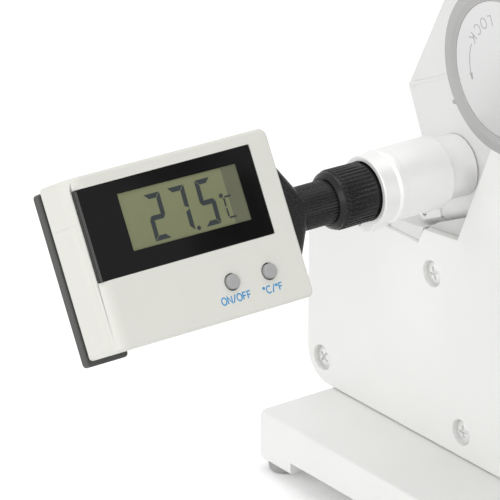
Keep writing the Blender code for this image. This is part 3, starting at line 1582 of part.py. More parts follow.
# Scale drive
GEAR_DISTANCE = hypot(SCALE_KNOB_X - PIVOT_X, SCALE_KNOB_Z - PIVOT_Z)
GEAR_DIRECTION = atan2(SCALE_KNOB_Z - PIVOT_Z, SCALE_KNOB_X - PIVOT_X)
SECTOR_PITCH_RADIUS = GEAR_DISTANCE - PINION_PITCH_RADIUS
TOOTH_PITCH = 2 * pi * PINION_PITCH_RADIUS / PINION_TEETH
SECTOR_FULL_TEETH = 2 * pi * SECTOR_PITCH_RADIUS / TOOTH_PITCH


def make_scale_knob():
    top = SCALE_KNOB_BACK + SCALE_KNOB_LENGTH
    neck_top = SCALE_KNOB_BACK + SCALE_KNOB_NECK_LENGTH
    grip = plate(
        "scale_knob",
        [ribbed(SCALE_KNOB_RADIUS, SCALE_KNOB_RIB, SCALE_KNOB_RIBS)],
        neck_top,
        top,
        BLACK_PLASTIC,
        SCALE_AXIS, UPRIGHT,
    )
    neck = rod(
        "knob_neck",
        SCALE_KNOB_NECK,
        SCALE_KNOB_BACK,
        neck_top + SCALE_KNOB_EDGE,
        None,
        SCALE_AXIS,
        UPRIGHT,
    )
    join(grip, neck)
    dish = rod(
        "knob_dish",
        SCALE_KNOB_RADIUS - SCALE_KNOB_EDGE * 2,
        top - SCALE_KNOB_EDGE / 2,
        top + OVERRUN,
        None,
        SCALE_AXIS,
        UPRIGHT,
    )
    shaft_room = rod(
        "knob_bore",
        SCALE_SHAFT_RADIUS + GAP,
        SCALE_KNOB_BACK - OVERRUN,
        top - SCALE_KNOB_EDGE * 2,
        None,
        SCALE_AXIS,
        UPRIGHT, SMALL_SIDES,
    )
    cut(grip, dish, shaft_room)
    tip = top - SCALE_KNOB_EDGE * 2 - GAP
    tail = GAP - FAR_WALL_INSIDE - SOCKET_DEPTH
    shaft = rod("scale_shaft", SCALE_SHAFT_RADIUS, tail, tip, STEEL, SCALE_AXIS, UPRIGHT, SMALL_SIDES)
    facing = GEAR_DIRECTION + pi
    pinion = toothed(PINION_PITCH_RADIUS, PINION_TEETH, TOOTH_PITCH, facing, PINION_TEETH)
    near = GEAR_PLACE - (PINION_WIDTH - SECTOR_WIDTH) / 2
    join(shaft, side_plate("pinion", [pinion], near, near + PINION_WIDTH, None, SCALE_AXIS))


def make_sector():
    half_span = pi * SECTOR_TEETH / SECTOR_FULL_TEETH
    root = SECTOR_PITCH_RADIUS - TOOTH_PITCH * TOOTH_DEDENDUM_SHARE
    rim = root - SECTOR_RIM
    half_tooth = pi / SECTOR_FULL_TEETH
    # A gap of the sector faces a tooth of the pinion, so the sector has an even count of teeth.
    first_tooth = GEAR_DIRECTION - half_tooth * (SECTOR_TEETH - 1)
    teeth = toothed(SECTOR_PITCH_RADIUS, SECTOR_FULL_TEETH, TOOTH_PITCH, first_tooth, SECTOR_TEETH)
    arc_half = half_span + half_tooth
    back = arc(rim, GEAR_DIRECTION + arc_half, GEAR_DIRECTION - arc_half, ARC_STEPS * 2)
    first = (root * cos(GEAR_DIRECTION - arc_half), root * sin(GEAR_DIRECTION - arc_half))
    last = (root * cos(GEAR_DIRECTION + arc_half), root * sin(GEAR_DIRECTION + arc_half))
    outline = [first, *teeth, last, *back]
    near, far = GEAR_PLACE, GEAR_PLACE + SECTOR_WIDTH
    sector = side_plate("mirror_sector", [outline], near, far, BRASS, MIRROR_AXIS)
    arm = block(
        "gear_arm",
        (0, near, -SECTOR_ARM / 2),
        (rim + SECTOR_RIM / 2, far, SECTOR_ARM / 2),
        None,
        MIRROR_AXIS,
        turn(-GEAR_DIRECTION, "Y"),
    )
    hub = cross_rod("sector_hub", SECTOR_HUB_RADIUS, 0, 0, near, far, None, MIRROR_AXIS, ROUND_SIDES)
    ends = (COVER_THICKNESS - SOCKET_DEPTH + GAP, FAR_WALL_INSIDE + SOCKET_DEPTH - GAP)
    spindle = cross_rod("sector_spindle", PIVOT_RADIUS, 0, 0, *ends, None, MIRROR_AXIS)
    seat_half = MIRROR_WIDTH / 2
    holder = block(
        "mirror_holder",
        (-MIRROR_LENGTH / 2, BODY_MIDDLE - seat_half, MIRROR_SEAT - MIRROR_HOLDER),
        (MIRROR_LENGTH / 2, BODY_MIDDLE + seat_half, MIRROR_SEAT - GAP),
        None,
        MIRROR_AXIS,
        turn(MIRROR_TILT, "Y"),
    )
    saddle = block(
        "mirror_saddle",
        (-PIVOT_RADIUS, BODY_MIDDLE - seat_half, 0),
        (PIVOT_RADIUS, BODY_MIDDLE + seat_half, MIRROR_SEAT - MIRROR_HOLDER / 2),
        None,
        MIRROR_AXIS,
        turn(MIRROR_TILT, "Y"),
    )
    middle = SCALE_GLASS_DIRECTION
    half = SCALE_ARM_HALF_ANGLE
    arm_top = SCALE_GLASS_INNER - GAP
    fan = [(0, 0), *arc(arm_top, middle - half, middle + half, ARC_STEPS)]
    scale_arm = side_plate("scale_arm", [fan], near, far, None, MIRROR_AXIS)
    ledge = SCALE_GLASS_THICKNESS
    shelf_out = SCALE_GLASS_INNER + SECTOR_RIM
    shelf = [*arc(arm_top - SECTOR_RIM, middle - half, middle + half, ARC_STEPS),
             *arc(shelf_out, middle + half, middle - half, ARC_STEPS)]
    shelf_plate = side_plate("scale_shelf", [shelf], near + ledge + GAP, far, None, MIRROR_AXIS)
    join(sector, arm, hub, spindle, holder, saddle, scale_arm, shelf_plate)
    block(
        "swing_mirror",
        (-MIRROR_LENGTH / 2, BODY_MIDDLE - seat_half, MIRROR_SEAT),
        (MIRROR_LENGTH / 2, BODY_MIDDLE + seat_half, MIRROR_SEAT + MIRROR_THICKNESS),
        MIRROR,
        MIRROR_AXIS,
        turn(MIRROR_TILT, "Y"),
    )
    wide = SCALE_GLASS_HALF_ANGLE
    glass = [*arc(SCALE_GLASS_INNER, middle - wide, middle + wide, ARC_STEPS),
             *arc(SCALE_GLASS_OUTER, middle + wide, middle - wide, ARC_STEPS)]
    side_plate("scale_glass", [glass], near, near + ledge, GLASS, MIRROR_AXIS)


# Telescope
def make_telescope():
    """Flanged barrel with the objective tube below it, open at the top for the eyepiece barrel."""
    flange_low = HEAD_FACE + GAP
    flange_high = flange_low + FLANGE_THICKNESS
    top = BARREL_END
    start = OBJECTIVE_START
    lens_low = start + OBJECTIVE_LENS_PLACE
    stop = OBJECTIVE_BORE - OBJECTIVE_STOP
    floor = flange_low + OBJECTIVE_SHOULDER
    profile = [
        (BARREL_BORE, top),
        (BARREL_RADIUS, top),
        (BARREL_RADIUS, flange_high),
        (FLANGE_RADIUS, flange_high),
        (FLANGE_RADIUS, flange_low),
        (OBJECTIVE_RADIUS, flange_low),
        (OBJECTIVE_RADIUS, start),
        (stop, start),
        (stop, lens_low - GAP),
        (OBJECTIVE_BORE, lens_low - GAP),
        (OBJECTIVE_BORE, floor),
        (BARREL_BORE, floor),
    ]
    barrel = turned("telescope_barrel", profile, PAINT, TELESCOPE, sides=FINE_SIDES, closed=True)
    boss = rod(
        "dispersion_boss",
        DISPERSION_BOSS_RADIUS,
        BARREL_BORE,
        DISPERSION_BOSS_REACH,
        None,
        DISPERSION_AXIS,
    )
    hollow = rod(
        "barrel_hollow",
        BARREL_BORE,
        DISPERSION_PLACE - BARREL_RADIUS,
        DISPERSION_PLACE + BARREL_RADIUS / 2,
        None,
        TELESCOPE,
        sides=FINE_SIDES,
    )
    cut(boss, hollow)
    join(barrel, boss)
    reach = DISPERSION_BOSS_REACH + OVERRUN
    hole = rod(
        "dispersion_hole",
        DISPERSION_SHAFT_RADIUS + GAP,
        0,
        reach,
        None,
        DISPERSION_AXIS,
        sides=SMALL_SIDES,
    )
    cut(barrel, hole)
    lens_high = lens_low + OBJECTIVE_LENS_THICKNESS
    turned("objective_lens", lens_profile(OBJECTIVE_BORE - GAP, lens_low, lens_high), GLASS, TELESCOPE)


def lens_profile(radius, low, high):
    """Lens with one flat and one rounded face."""
    bulge = (high - low) / 4
    return [(0, high), (radius / 2, high - bulge / 4), (radius, high - bulge), (radius, low), (0, low)]


def make_dispersion():
    pitch = 2 * pi * DISPERSION_PITCH_RADIUS / DISPERSION_TEETH
    depth = CELL_TOOTH_DEPTH
    half_face = CELL_TOOTH_HALF_FACE
    inner, outer = CELL_MESH_RADIUS - half_face, CELL_MESH_RADIUS + half_face
    gap_width = 2 * pi * CELL_MESH_RADIUS / CELL_TEETH * CELL_TOOTH_GAP_SHARE
    reach = CELL_FACE_DISTANCE
    lip = CELL_BORE - CELL_LIP
    for name, carrier, side in (
        ("compensator_cell_lower", CELL_LOW, -1), ("compensator_cell_upper", CELL_HIGH, 1)
    ):
        face = reach
        floor = reach + depth
        back = floor + CELL_LENGTH
        profile = [
            (inner, side * face),
            (outer, side * face),
            (outer, side * floor),
            (CELL_RADIUS, side * floor),
            (CELL_RADIUS, side * back), (lip, side * back), (lip, side * (back - CELL_LIP)),
            (CELL_BORE, side * (back - CELL_LIP)), (CELL_BORE, side * floor), (inner, side * floor),
        ]
        if side > 0:
            profile.reverse()
        profile = [(radius, DISPERSION_PLACE + height) for radius, height in profile]
        cell = turned(name, profile, BRASS, carrier, closed=True)
        slots = bmesh.new()
        low, high = sorted((side * (face - OVERRUN), side * (floor - MERGE)))
        for k in range(CELL_TEETH):
            place = turn(2 * pi * k / CELL_TEETH - pi / 2, "Z") @ shift(
                x=CELL_MESH_RADIUS, z=DISPERSION_PLACE + (low + high) / 2
            ) @ Matrix.Diagonal((half_face * 2 + OVERRUN / 2, gap_width, high - low, 1.0))
            bmesh.ops.create_cube(slots, size=1.0, matrix=place)
        mesh = bpy.data.meshes.new(name + "_slots")
        slots.to_mesh(mesh)
        slots.free()
        cut(cell, place_object(name + "_slots", mesh, None, carrier, Matrix(), CUTTERS))
        glass_low, glass_high = sorted((side * (floor + GAP), side * (back - CELL_LIP - GAP)))
        prism_name = "amici_prism_" + name.rsplit("_", 1)[1]
        rod(
            prism_name,
            AMICI_RADIUS,
            DISPERSION_PLACE + glass_low,
            DISPERSION_PLACE + glass_high,
            GLASS,
            carrier,
            sides=SMALL_SIDES,
        )
    knob_low = DISPERSION_BOSS_REACH + DISPERSION_KNOB_GAP
    knob_high = knob_low + DISPERSION_KNOB_LENGTH
    tip = knob_high - SCALE_KNOB_EDGE * 2
    shaft = rod(
        "dispersion_pinion",
        DISPERSION_SHAFT_RADIUS,
        inner - OVERRUN / 2,
        tip - GAP,
        STEEL,
        DISPERSION_AXIS,
        sides=SMALL_SIDES,
    )
    teeth = toothed(DISPERSION_PITCH_RADIUS, DISPERSION_TEETH, pitch, pi / 2, DISPERSION_TEETH)
    teeth_end = inner + DISPERSION_PINION_LENGTH
    join(shaft, plate("dispersion_teeth", [teeth], inner, teeth_end, None, DISPERSION_AXIS))
    knob = turned(
        "dispersion_knob",
        [
            (0, knob_high),
            (DISPERSION_KNOB_RADIUS - SCALE_KNOB_EDGE, knob_high),
            (DISPERSION_KNOB_RADIUS, knob_high - SCALE_KNOB_EDGE),
            (DISPERSION_KNOB_RADIUS, knob_low + DISPERSION_DIAL_THICKNESS),
            (DISPERSION_DIAL_RADIUS, knob_low + DISPERSION_DIAL_THICKNESS / 2),
            (DISPERSION_DIAL_RADIUS, knob_low),
            (0, knob_low),
        ],
        BLACK_PLASTIC,
        DISPERSION_AXIS,
        sides=FINE_SIDES,
    )
    bore = rod(
        "dispersion_bore", DISPERSION_SHAFT_RADIUS + GAP, knob_low - OVERRUN, tip, None, DISPERSION_AXIS,
        sides=SMALL_SIDES,
    )
    cut(knob, bore)


def make_eyepiece():
    """Barrel in the telescope's top, and the eyepiece that slides in it as the ring is turned."""
    shoulder = BARREL_END + GAP
    foot = BARREL_END - EYEPIECE_SPIGOT
    profile = [
        (EYEPIECE_BARREL_BORE, EYEPIECE_BARREL_END),
        (EYEPIECE_BARREL_RADIUS, EYEPIECE_BARREL_END),
        (EYEPIECE_BARREL_RADIUS, shoulder + EYEPIECE_COLLAR),
        (BARREL_RADIUS, shoulder + EYEPIECE_COLLAR / 2),
        (BARREL_RADIUS, shoulder),
        (BARREL_BORE - GAP, shoulder),
        (BARREL_BORE - GAP, foot),
        (EYEPIECE_BARREL_BORE, foot),
    ]
    turned("eyepiece_barrel", profile, BLACK_METAL, TELESCOPE, sides=FINE_SIDES, closed=True)
    lens_low = EYE_LENS_PLACE
    stop = OCULAR_BORE - EYE_LENS_LEDGE
    tube = [
        (OCULAR_BORE, OCULAR_END),
        (OCULAR_RADIUS, OCULAR_END),
        (OCULAR_RADIUS, OCULAR_START),
        (stop, OCULAR_START),
        (stop, lens_low - GAP),
        (OCULAR_BORE, lens_low - GAP),
    ]
    turned("ocular_tube", tube, BLACK_METAL, OCULAR, closed=True)
    turned(
        "eye_lens",
        lens_profile(OCULAR_BORE - GAP, lens_low, lens_low + EYE_LENS_THICKNESS),
        GLASS,
        OCULAR,
    )
    start = EYEPIECE_BARREL_END + GAP
    ring_outlines = [
        ribbed(FOCUS_RING_RADIUS, FOCUS_RING_RIB, FOCUS_RING_RIBS),
        circle(OCULAR_RADIUS + GAP, ROUND_SIDES),
    ]
    plate("focus_ring", ring_outlines, start, start + FOCUS_RING_LENGTH, BLACK_METAL, FOCUS)
    cup_low = EYECUP_START
    cup_high = cup_low + EYECUP_LENGTH
    lip = OCULAR_END + GAP
    cup = [
        (OCULAR_BORE, cup_high),
        (EYECUP_RIM, cup_high),
        (EYECUP_RADIUS, cup_high - EYECUP_LENGTH / 3),
        (EYECUP_WAIST, cup_low),
        (OCULAR_RADIUS + GAP, cup_low),
        (OCULAR_RADIUS + GAP, lip),
        (OCULAR_BORE, lip),
    ]
    turned("eyecup", cup, RUBBER, OCULAR, closed=True)


# Thermometer socket and nut
def make_socket():
    groove = SOCKET_GROOVE
    shoulder = SOCKET_SHOULDER
    profile = [
        (SOCKET_MOUTH_BORE, SOCKET_MOUTH),
        (SOCKET_LIP_RADIUS, SOCKET_MOUTH),
        (SOCKET_LIP_RADIUS, SOCKET_COLLAR_END + SOCKET_STEP),
        (SOCKET_COLLAR_RADIUS, SOCKET_COLLAR_END),
        (SOCKET_COLLAR_RADIUS, shoulder),
        ((SOCKET_COLLAR_RADIUS * 2 + SOCKET_RADIUS) / 3, shoulder - SOCKET_ROLL / 2),
        (SOCKET_RADIUS, shoulder - SOCKET_ROLL),
        (SOCKET_RADIUS, SOCKET_NECK_START),
        (SOCKET_NECK_RADIUS, SOCKET_NECK_START - groove / 2),
        (SOCKET_NECK_RADIUS, GAP - BLOCK_SIDE),
        (SOCKET_STUB_RADIUS, GAP - BLOCK_SIDE),
        (SOCKET_STUB_RADIUS, -SOCKET_STUB_END),
        (SOCKET_PROBE_BORE, -SOCKET_STUB_END),
        (SOCKET_PROBE_BORE, SOCKET_FLOOR),
        (SOCKET_BORE, SOCKET_FLOOR),
        (SOCKET_BORE, SOCKET_MOUTH - SOCKET_MOUTH_DEPTH),
        (SOCKET_MOUTH_BORE, SOCKET_MOUTH - SOCKET_MOUTH_DEPTH),
    ]
    socket = turned("thermometer_socket", profile, SATIN, STEM, sides=FINE_SIDES, closed=True)
    lug = rod(
        "clamp_lug", CLAMP_LUG_RADIUS, CLAMP_LUG_START, CLAMP_LUG_START + CLAMP_LUG_LENGTH, None, STEM,
        shift(y=-CLAMP_LUG_DROP), SMALL_SIDES,
    )
    mid_wall = (SOCKET_MOUTH_BORE + SOCKET_LIP_RADIUS) / 2
    bore = rod(
        "lug_keep", mid_wall, SOCKET_NECK_START, SOCKET_MOUTH + OVERRUN, None, STEM, sides=FINE_SIDES,
    )
    cut(lug, bore)
    hole = rod(
        "clamp_hole", CLAMP_HOLE_RADIUS, CLAMP_LUG_START + CLAMP_LUG_LENGTH / 2,
        CLAMP_LUG_START + CLAMP_LUG_LENGTH + OVERRUN,
        None,
        STEM,
        shift(y=-CLAMP_LUG_DROP - CLAMP_HOLE_RADIUS),
        SMALL_SIDES,
    )
    join(socket, lug)
    cut(socket, hole)


def make_nut():
    rim_end = NUT_START + NUT_RIM_LENGTH
    rib_end = rim_end + NUT_RIB_LENGTH
    band_end = rib_end + NUT_BAND_LENGTH
    nose = band_end + NUT_CONE_LENGTH
    nut = plate(
        "clamp_nut", [ribbed(NUT_RADIUS, NUT_RIB, NUT_RIBS)], rim_end, rib_end, BLACK_PLASTIC, NUT,
    )
    rim = rod("nut_rim", NUT_RIM_RADIUS, NUT_START, rim_end + NUT_RIB, None, NUT)
    band = NUT_RADIUS - NUT_RIB / 2
    profile = [
        (0, nose), (NUT_NOSE_RADIUS, nose), (band, band_end), (band, rib_end - NUT_RIB),
        (0, rib_end - NUT_RIB),
    ]
    join(nut, rim, turned("nut_nose", profile, None, NUT))
    cut(nut, rod("nut_bore", NUT_BORE, NUT_START - OVERRUN, nose + OVERRUN, None, NUT))


def loft(name, lower, upper, surface, parent):
    """Solid between two outlines with the same count of points; each point is (x, y, z)."""
    solid = bmesh.new()
    count = len(lower)
    first = [solid.verts.new(point) for point in lower]
    second = [solid.verts.new(point) for point in upper]
    for k in range(count):
        after = (k + 1) % count
        solid.faces.new((first[k], first[after], second[after], second[k]))
    solid.faces.new(list(reversed(first)))
    solid.faces.new(second)
    bmesh.ops.recalc_face_normals(solid, faces=solid.faces)
    mesh = bpy.data.meshes.new(name)
    solid.to_mesh(mesh)
    solid.free()
    smooth(mesh)
    return place_object(name, mesh, surface, parent, Matrix(), home(surface))


def signed_power(value, power):
    return abs(value) ** power * (1 if value >= 0 else -1)


def make_stem():
    """Knurled stem whose funnel widens from a circle to the end of the case."""
    barrel_end = BARREL_STEM_END
    nut_nose = NUT_START + NUT_RIM_LENGTH + NUT_RIB_LENGTH
    stem = rod("thermometer_stem", BARREL_STEM_RADIUS, nut_nose, barrel_end, BLACK_PLASTIC, STEM)
    inner = rod("stem_inner", INNER_STEM_RADIUS, INNER_STEM_START, nut_nose + FUNNEL_LAP, None, STEM)
    wall = CASE_NEAR - GAP
    tilt = CASE_TILT
    small, large = [], []
    for k in range(FUNNEL_SIDES):
        angle = 2 * pi * k / FUNNEL_SIDES
        radius = BARREL_STEM_RADIUS - FUNNEL_STEP
        small.append((radius * cos(angle + tilt), radius * sin(angle + tilt), barrel_end - FUNNEL_LAP))
        deep = FUNNEL_HALF_DEPTH * signed_power(cos(angle), FUNNEL_CORNER_POWER)
        tall = FUNNEL_HALF_HEIGHT * signed_power(sin(angle), FUNNEL_CORNER_POWER)
        large.append((deep * cos(tilt) - tall * sin(tilt), deep * sin(tilt) + tall * cos(tilt), wall))
    funnel = loft("funnel", small, large, None, STEM)
    spigot = rod(
        "spigot",
        SPIGOT_RADIUS,
        wall - GAP * 2,
        CASE_NEAR + CASE_WALL + SPIGOT_LENGTH,
        None,
        STEM,
        sides=SMALL_SIDES,
    )
    join(stem, inner, funnel, spigot)
    probe_end = INNER_STEM_START + PROBE_HOLD
    hole = rod(
        "probe_hole",
        PROBE_RADIUS + GAP,
        INNER_STEM_START - OVERRUN,
        probe_end + GAP,
        None,
        STEM,
        sides=SMALL_SIDES,
    )
    cut(stem, hole)
    rod("probe_rod", PROBE_RADIUS, -PROBE_TIP, probe_end, STEEL, STEM, sides=SMALL_SIDES)


# Thermometer head
CASE_LEFT = -CASE_LENGTH / 2
CASE_RIGHT = CASE_LENGTH / 2
CASE_TOP = CASE_HEIGHT / 2
CASE_BOTTOM = -CASE_HEIGHT / 2
CASE_BACK = CASE_FACE - CASE_DEPTH
DISPLAY_LEFT = CASE_LEFT + WINDOW_LEFT
DISPLAY_TOP = CASE_TOP - WINDOW_TOP


def make_case():
    outline = rectangle(CASE_LEFT, CASE_RIGHT, CASE_BOTTOM, CASE_TOP, CASE_CORNER)
    case = plate("thermometer_case", [outline], CASE_BACK, CASE_FACE, WHITE_PLASTIC, HEAD)
    edge = case.modifiers.new("edge", "BEVEL")
    edge.width = CASE_EDGE
    edge.segments = 2
    edge.limit_method = "WEIGHT"
    weight_front_edge(case.data)
    wall = CASE_WALL
    hollow = block(
        "case_hollow",
        (CASE_LEFT + wall, CASE_BOTTOM + wall, CASE_BACK - OVERRUN),
        (CASE_RIGHT - wall, CASE_TOP - wall, CASE_FACE - wall),
        None,
        HEAD,
    )
    frame_depth = DISPLAY_RECESS + DISPLAY_FRAME_FLOOR + GAP
    opening = block(
        "display_opening",
        (DISPLAY_LEFT, DISPLAY_TOP - WINDOW_HEIGHT, CASE_FACE - frame_depth),
        (DISPLAY_LEFT + WINDOW_LENGTH, DISPLAY_TOP, CASE_FACE + OVERRUN),
        None,
        HEAD,
    )
    entry = rod(
        "stem_entry",
        SPIGOT_RADIUS + GAP,
        CASE_NEAR - OVERRUN,
        CASE_NEAR + wall + OVERRUN,
        None,
        STEM,
        sides=SMALL_SIDES,
    )
    door = block(
        "door_seat",
        (CASE_LEFT - OVERRUN, CASE_BOTTOM + DOOR_LOW - GAP, CASE_BACK - OVERRUN),
        (
            CASE_LEFT + DOOR_THICKNESS + GAP,
            CASE_BOTTOM + DOOR_LOW + DOOR_HEIGHT + GAP,
            CASE_BACK + DOOR_WIDTH + GAP,
        ),
        None,
        HEAD,
    )
    cut(case, hollow, opening, entry, door)
    for x in BUTTON_PLACES:
        cut(case, rod(
            "button_hole", BUTTON_RADIUS + GAP, CASE_BACK, CASE_FACE + OVERRUN, None, HEAD,
            shift(x, CASE_BOTTOM + BUTTON_LOW), SMALL_SIDES,
        ))


def weight_front_edge(mesh):
    """Marks the edges of the front face, so that only they are rounded."""
    weights = mesh.attributes.new("bevel_weight_edge", "FLOAT", "EDGE")
    for edge, weight in zip(mesh.edges, weights.data):
        heights = [mesh.vertices[index].co.z for index in edge.vertices]
        weight.value = 1.0 if min(heights) > CASE_FACE - MERGE * 2 else 0.0


def make_case_back():
    high = CASE_BACK - GAP
    low = high - BACK_THICKNESS
    left = CASE_LEFT - BACK_LEFT_PROUD
    tab_end = left + BACK_TAB_LENGTH
    foot = CASE_BOTTOM + GAP
    outline = rounded([
        (left, CASE_TOP - BACK_TOP_INSET, BACK_CORNER),
        (left, foot - BACK_TAB_DROP, BACK_CORNER),
        (tab_end, foot - BACK_TAB_DROP, BACK_CORNER),
        (tab_end, foot, 0),
        (CASE_RIGHT - GAP, foot, BACK_CORNER),
        (CASE_RIGHT - GAP, CASE_TOP - BACK_TOP_INSET, BACK_CORNER),
    ])
    plate("case_back", [outline], low, high, BLACK_PLASTIC, HEAD)


def make_battery_door():
    block(
        "battery_door",
        (CASE_LEFT, CASE_BOTTOM + DOOR_LOW, CASE_BACK),
        (CASE_LEFT + DOOR_THICKNESS, CASE_BOTTOM + DOOR_LOW + DOOR_HEIGHT, CASE_BACK + DOOR_WIDTH),
        WHITE_PLASTIC,
        HEAD,
    )


def make_display():
    left, right = DISPLAY_LEFT + GAP, DISPLAY_LEFT + WINDOW_LENGTH - GAP
    low, high = DISPLAY_TOP - WINDOW_HEIGHT + GAP, DISPLAY_TOP - GAP
    floor = CASE_FACE - DISPLAY_RECESS
    wall = DISPLAY_FRAME_WALL
    frame = block(
        "display_frame", (
            left, low, floor - DISPLAY_FRAME_FLOOR
        ), (right, high, CASE_FACE - GAP), GLOSS_BLACK, HEAD
    )
    recess = block(
        "display_recess",
        (left + wall, low + wall, floor),
        (right - wall, high - wall, CASE_FACE + OVERRUN),
        None,
        HEAD,
    )
    lcd_left = DISPLAY_LEFT + LCD_LEFT
    lcd_high = DISPLAY_TOP - LCD_TOP
    view = block(
        "lcd_opening",
        (lcd_left, lcd_high - LCD_HEIGHT, floor - DISPLAY_FRAME_FLOOR - OVERRUN),
        (lcd_left + LCD_LENGTH, lcd_high, CASE_FACE),
        None,
        HEAD,
    )
    cut(frame, recess, view)
    margin = LCD_MARGIN
    top = floor - DISPLAY_FRAME_FLOOR - GAP
    block(
        "lcd_panel",
        (lcd_left - margin, lcd_high - LCD_HEIGHT - margin, top - LCD_THICKNESS),
        (lcd_left + LCD_LENGTH + margin, lcd_high + margin, top),
        LCD_GREEN,
        HEAD,
    )
    return top - LCD_THICKNESS


def make_buttons():
    inside = CASE_FACE - CASE_WALL - GAP
    face = CASE_FACE + BUTTON_PROUD
    profile = [
        (0, face),
        (BUTTON_RADIUS - BUTTON_CROWN * 2, face),
        (BUTTON_RADIUS, face - BUTTON_CROWN),
        (BUTTON_RADIUS, inside),
        (BUTTON_FLANGE_RADIUS, inside),
        (BUTTON_FLANGE_RADIUS, inside - BUTTON_FLANGE),
        (0, inside - BUTTON_FLANGE),
    ]
    for name, x in zip(("on_off_button", "unit_button"), BUTTON_PLACES):
        place = shift(x, CASE_BOTTOM + BUTTON_LOW)
        carrier = empty(name + "_axis", HEAD, place)
        turned(name, profile, GREY_PLASTIC, carrier, sides=SMALL_SIDES)


def make_electronics(board_roof):
    middle_x = CASE_LEFT + CASE_WALL + GAP + BOARD_LENGTH / 2
    board_high = board_roof - GAP
    left = middle_x - BOARD_LENGTH / 2
    block(
        "circuit_board",
        (left, -BOARD_HEIGHT / 2, board_high - BOARD_THICKNESS),
        (left + BOARD_LENGTH, BOARD_HEIGHT / 2, board_high),
        BOARD_GREEN,
        HEAD,
    )
    battery_high = board_high - BOARD_THICKNESS - GAP
    rod(
        "battery", BATTERY_RADIUS, battery_high - BATTERY_THICKNESS, battery_high, STEEL, HEAD,
        shift(x=CASE_LEFT + BATTERY_PLACE),
    )


def settle_origin():
    """Moves the instrument so that the origin is the middle of its footprint on the bench."""
    bpy.context.view_layer.update()
    graph = bpy.context.evaluated_depsgraph_get()
    corners = []
    for part in PARTS.objects:
        if part.type != "MESH":
            continue
        solid = part.evaluated_get(graph)
        corners += [solid.matrix_world @ vertex.co for vertex in solid.data.vertices]
    low = [min(corner[axis] for corner in corners) for axis in range(3)]
    high = [max(corner[axis] for corner in corners) for axis in range(3)]
    ROOT.location = (-(low[0] + high[0]) / 2, -(low[1] + high[1]) / 2, -low[2])
    bpy.context.view_layer.update()
    print("size", [round(top - bottom, 5) for bottom, top in zip(low, high)])
    for carrier in PARTS.objects:
        if carrier.type == "EMPTY":
            place = carrier.matrix_world
            print(
                carrier.name,
                "at", [round(value, 6) for value in place.translation],
                "x", [round(value, 5) for value in place.col[0][:3]],
                "z", [round(value, 5) for value in place.col[2][:3]],
            )


make_base()
make_feet()
make_base_bolts()
make_frame()
make_cover()
make_cover_screws()
make_window()
make_lower_housing()
make_refracting_prism()
make_upper_housing()
make_lighting_prism()
make_hinge_pin()
make_shield()
make_reflector()
make_nozzles("lower_water_nozzles", LOWER_NOZZLE_X, LOWER_NOZZLE_Z, PRISM_FRAME)
make_nozzles("upper_water_nozzles", UPPER_NOZZLE_X, UPPER_NOZZLE_Z, PRISM_HINGE)
make_block_bolt()
make_lock()
make_scale_knob()
make_sector()
make_telescope()
make_dispersion()
make_eyepiece()
make_socket()
make_nut()
make_stem()
make_case()
make_case_back()
make_battery_door()
LCD_BACK = make_display()
make_buttons()
make_electronics(LCD_BACK)
settle_origin()
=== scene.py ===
"""Looks of the Abbe refractometer: materials, finer pieces, lettering, light and camera round the frame."""

import json
import math

import bmesh
import bpy
from mathutils import Matrix, Vector


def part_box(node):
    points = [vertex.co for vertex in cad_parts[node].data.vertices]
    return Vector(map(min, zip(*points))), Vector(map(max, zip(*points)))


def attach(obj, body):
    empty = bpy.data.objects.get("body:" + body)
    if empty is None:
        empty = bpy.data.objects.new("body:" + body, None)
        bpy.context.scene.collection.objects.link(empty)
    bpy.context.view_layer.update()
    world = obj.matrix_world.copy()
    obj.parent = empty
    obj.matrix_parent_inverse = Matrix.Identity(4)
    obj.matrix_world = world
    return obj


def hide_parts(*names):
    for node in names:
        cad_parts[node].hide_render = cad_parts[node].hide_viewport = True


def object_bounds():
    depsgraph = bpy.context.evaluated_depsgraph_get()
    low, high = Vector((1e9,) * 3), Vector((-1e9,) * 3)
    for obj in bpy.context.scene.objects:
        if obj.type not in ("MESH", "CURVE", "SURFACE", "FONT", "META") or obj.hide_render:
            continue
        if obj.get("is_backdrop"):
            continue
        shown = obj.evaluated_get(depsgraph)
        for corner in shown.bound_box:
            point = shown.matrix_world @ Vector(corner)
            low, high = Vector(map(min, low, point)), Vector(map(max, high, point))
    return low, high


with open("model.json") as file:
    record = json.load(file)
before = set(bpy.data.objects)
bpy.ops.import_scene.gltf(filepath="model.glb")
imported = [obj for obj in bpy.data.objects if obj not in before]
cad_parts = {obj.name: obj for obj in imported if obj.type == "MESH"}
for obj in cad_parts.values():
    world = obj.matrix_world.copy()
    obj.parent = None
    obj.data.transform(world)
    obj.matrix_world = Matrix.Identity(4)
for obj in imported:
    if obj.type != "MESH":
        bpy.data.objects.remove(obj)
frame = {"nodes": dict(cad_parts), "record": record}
cad_low, cad_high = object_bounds()
NODES = frame["nodes"]

MM = 0.001

# Places on the instrument, in millimetres from the lower left corner of its side cover, and angles in degrees
COVER_GAP = 0.3
PRISM_PIVOT = (34.72, 0.0, 92.756)
PRISM_TILT = 24.5
LOCK_CENTRE = (68.6, 0.0, -1.2)
STEM_AXIS = (58.508, 0.0, 78.706)
STEM_LENGTH = 85.8
HEAD_TURN = 28.8
SCOPE_X, SCOPE_Y, SCOPE_Z = 104.0, 25.35, 38.0
SCOPE_TILT = 30
DISPERSION_RISE = 118.0
SCALE_X, SCALE_Z = 118.0, 45.0

cover_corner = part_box("side_cover")[0]
ORIGIN = Vector((cover_corner.x, cover_corner.y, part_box("base_plate")[1].z + COVER_GAP * MM))
UPRIGHT = Matrix.Rotation(math.pi / 2, 4, "X")


def moved(x=0.0, y=0.0, z=0.0):
    return Matrix.Translation((x * MM, y * MM, z * MM))


def turned(degrees, axis):
    return Matrix.Rotation(math.radians(degrees), 4, axis)


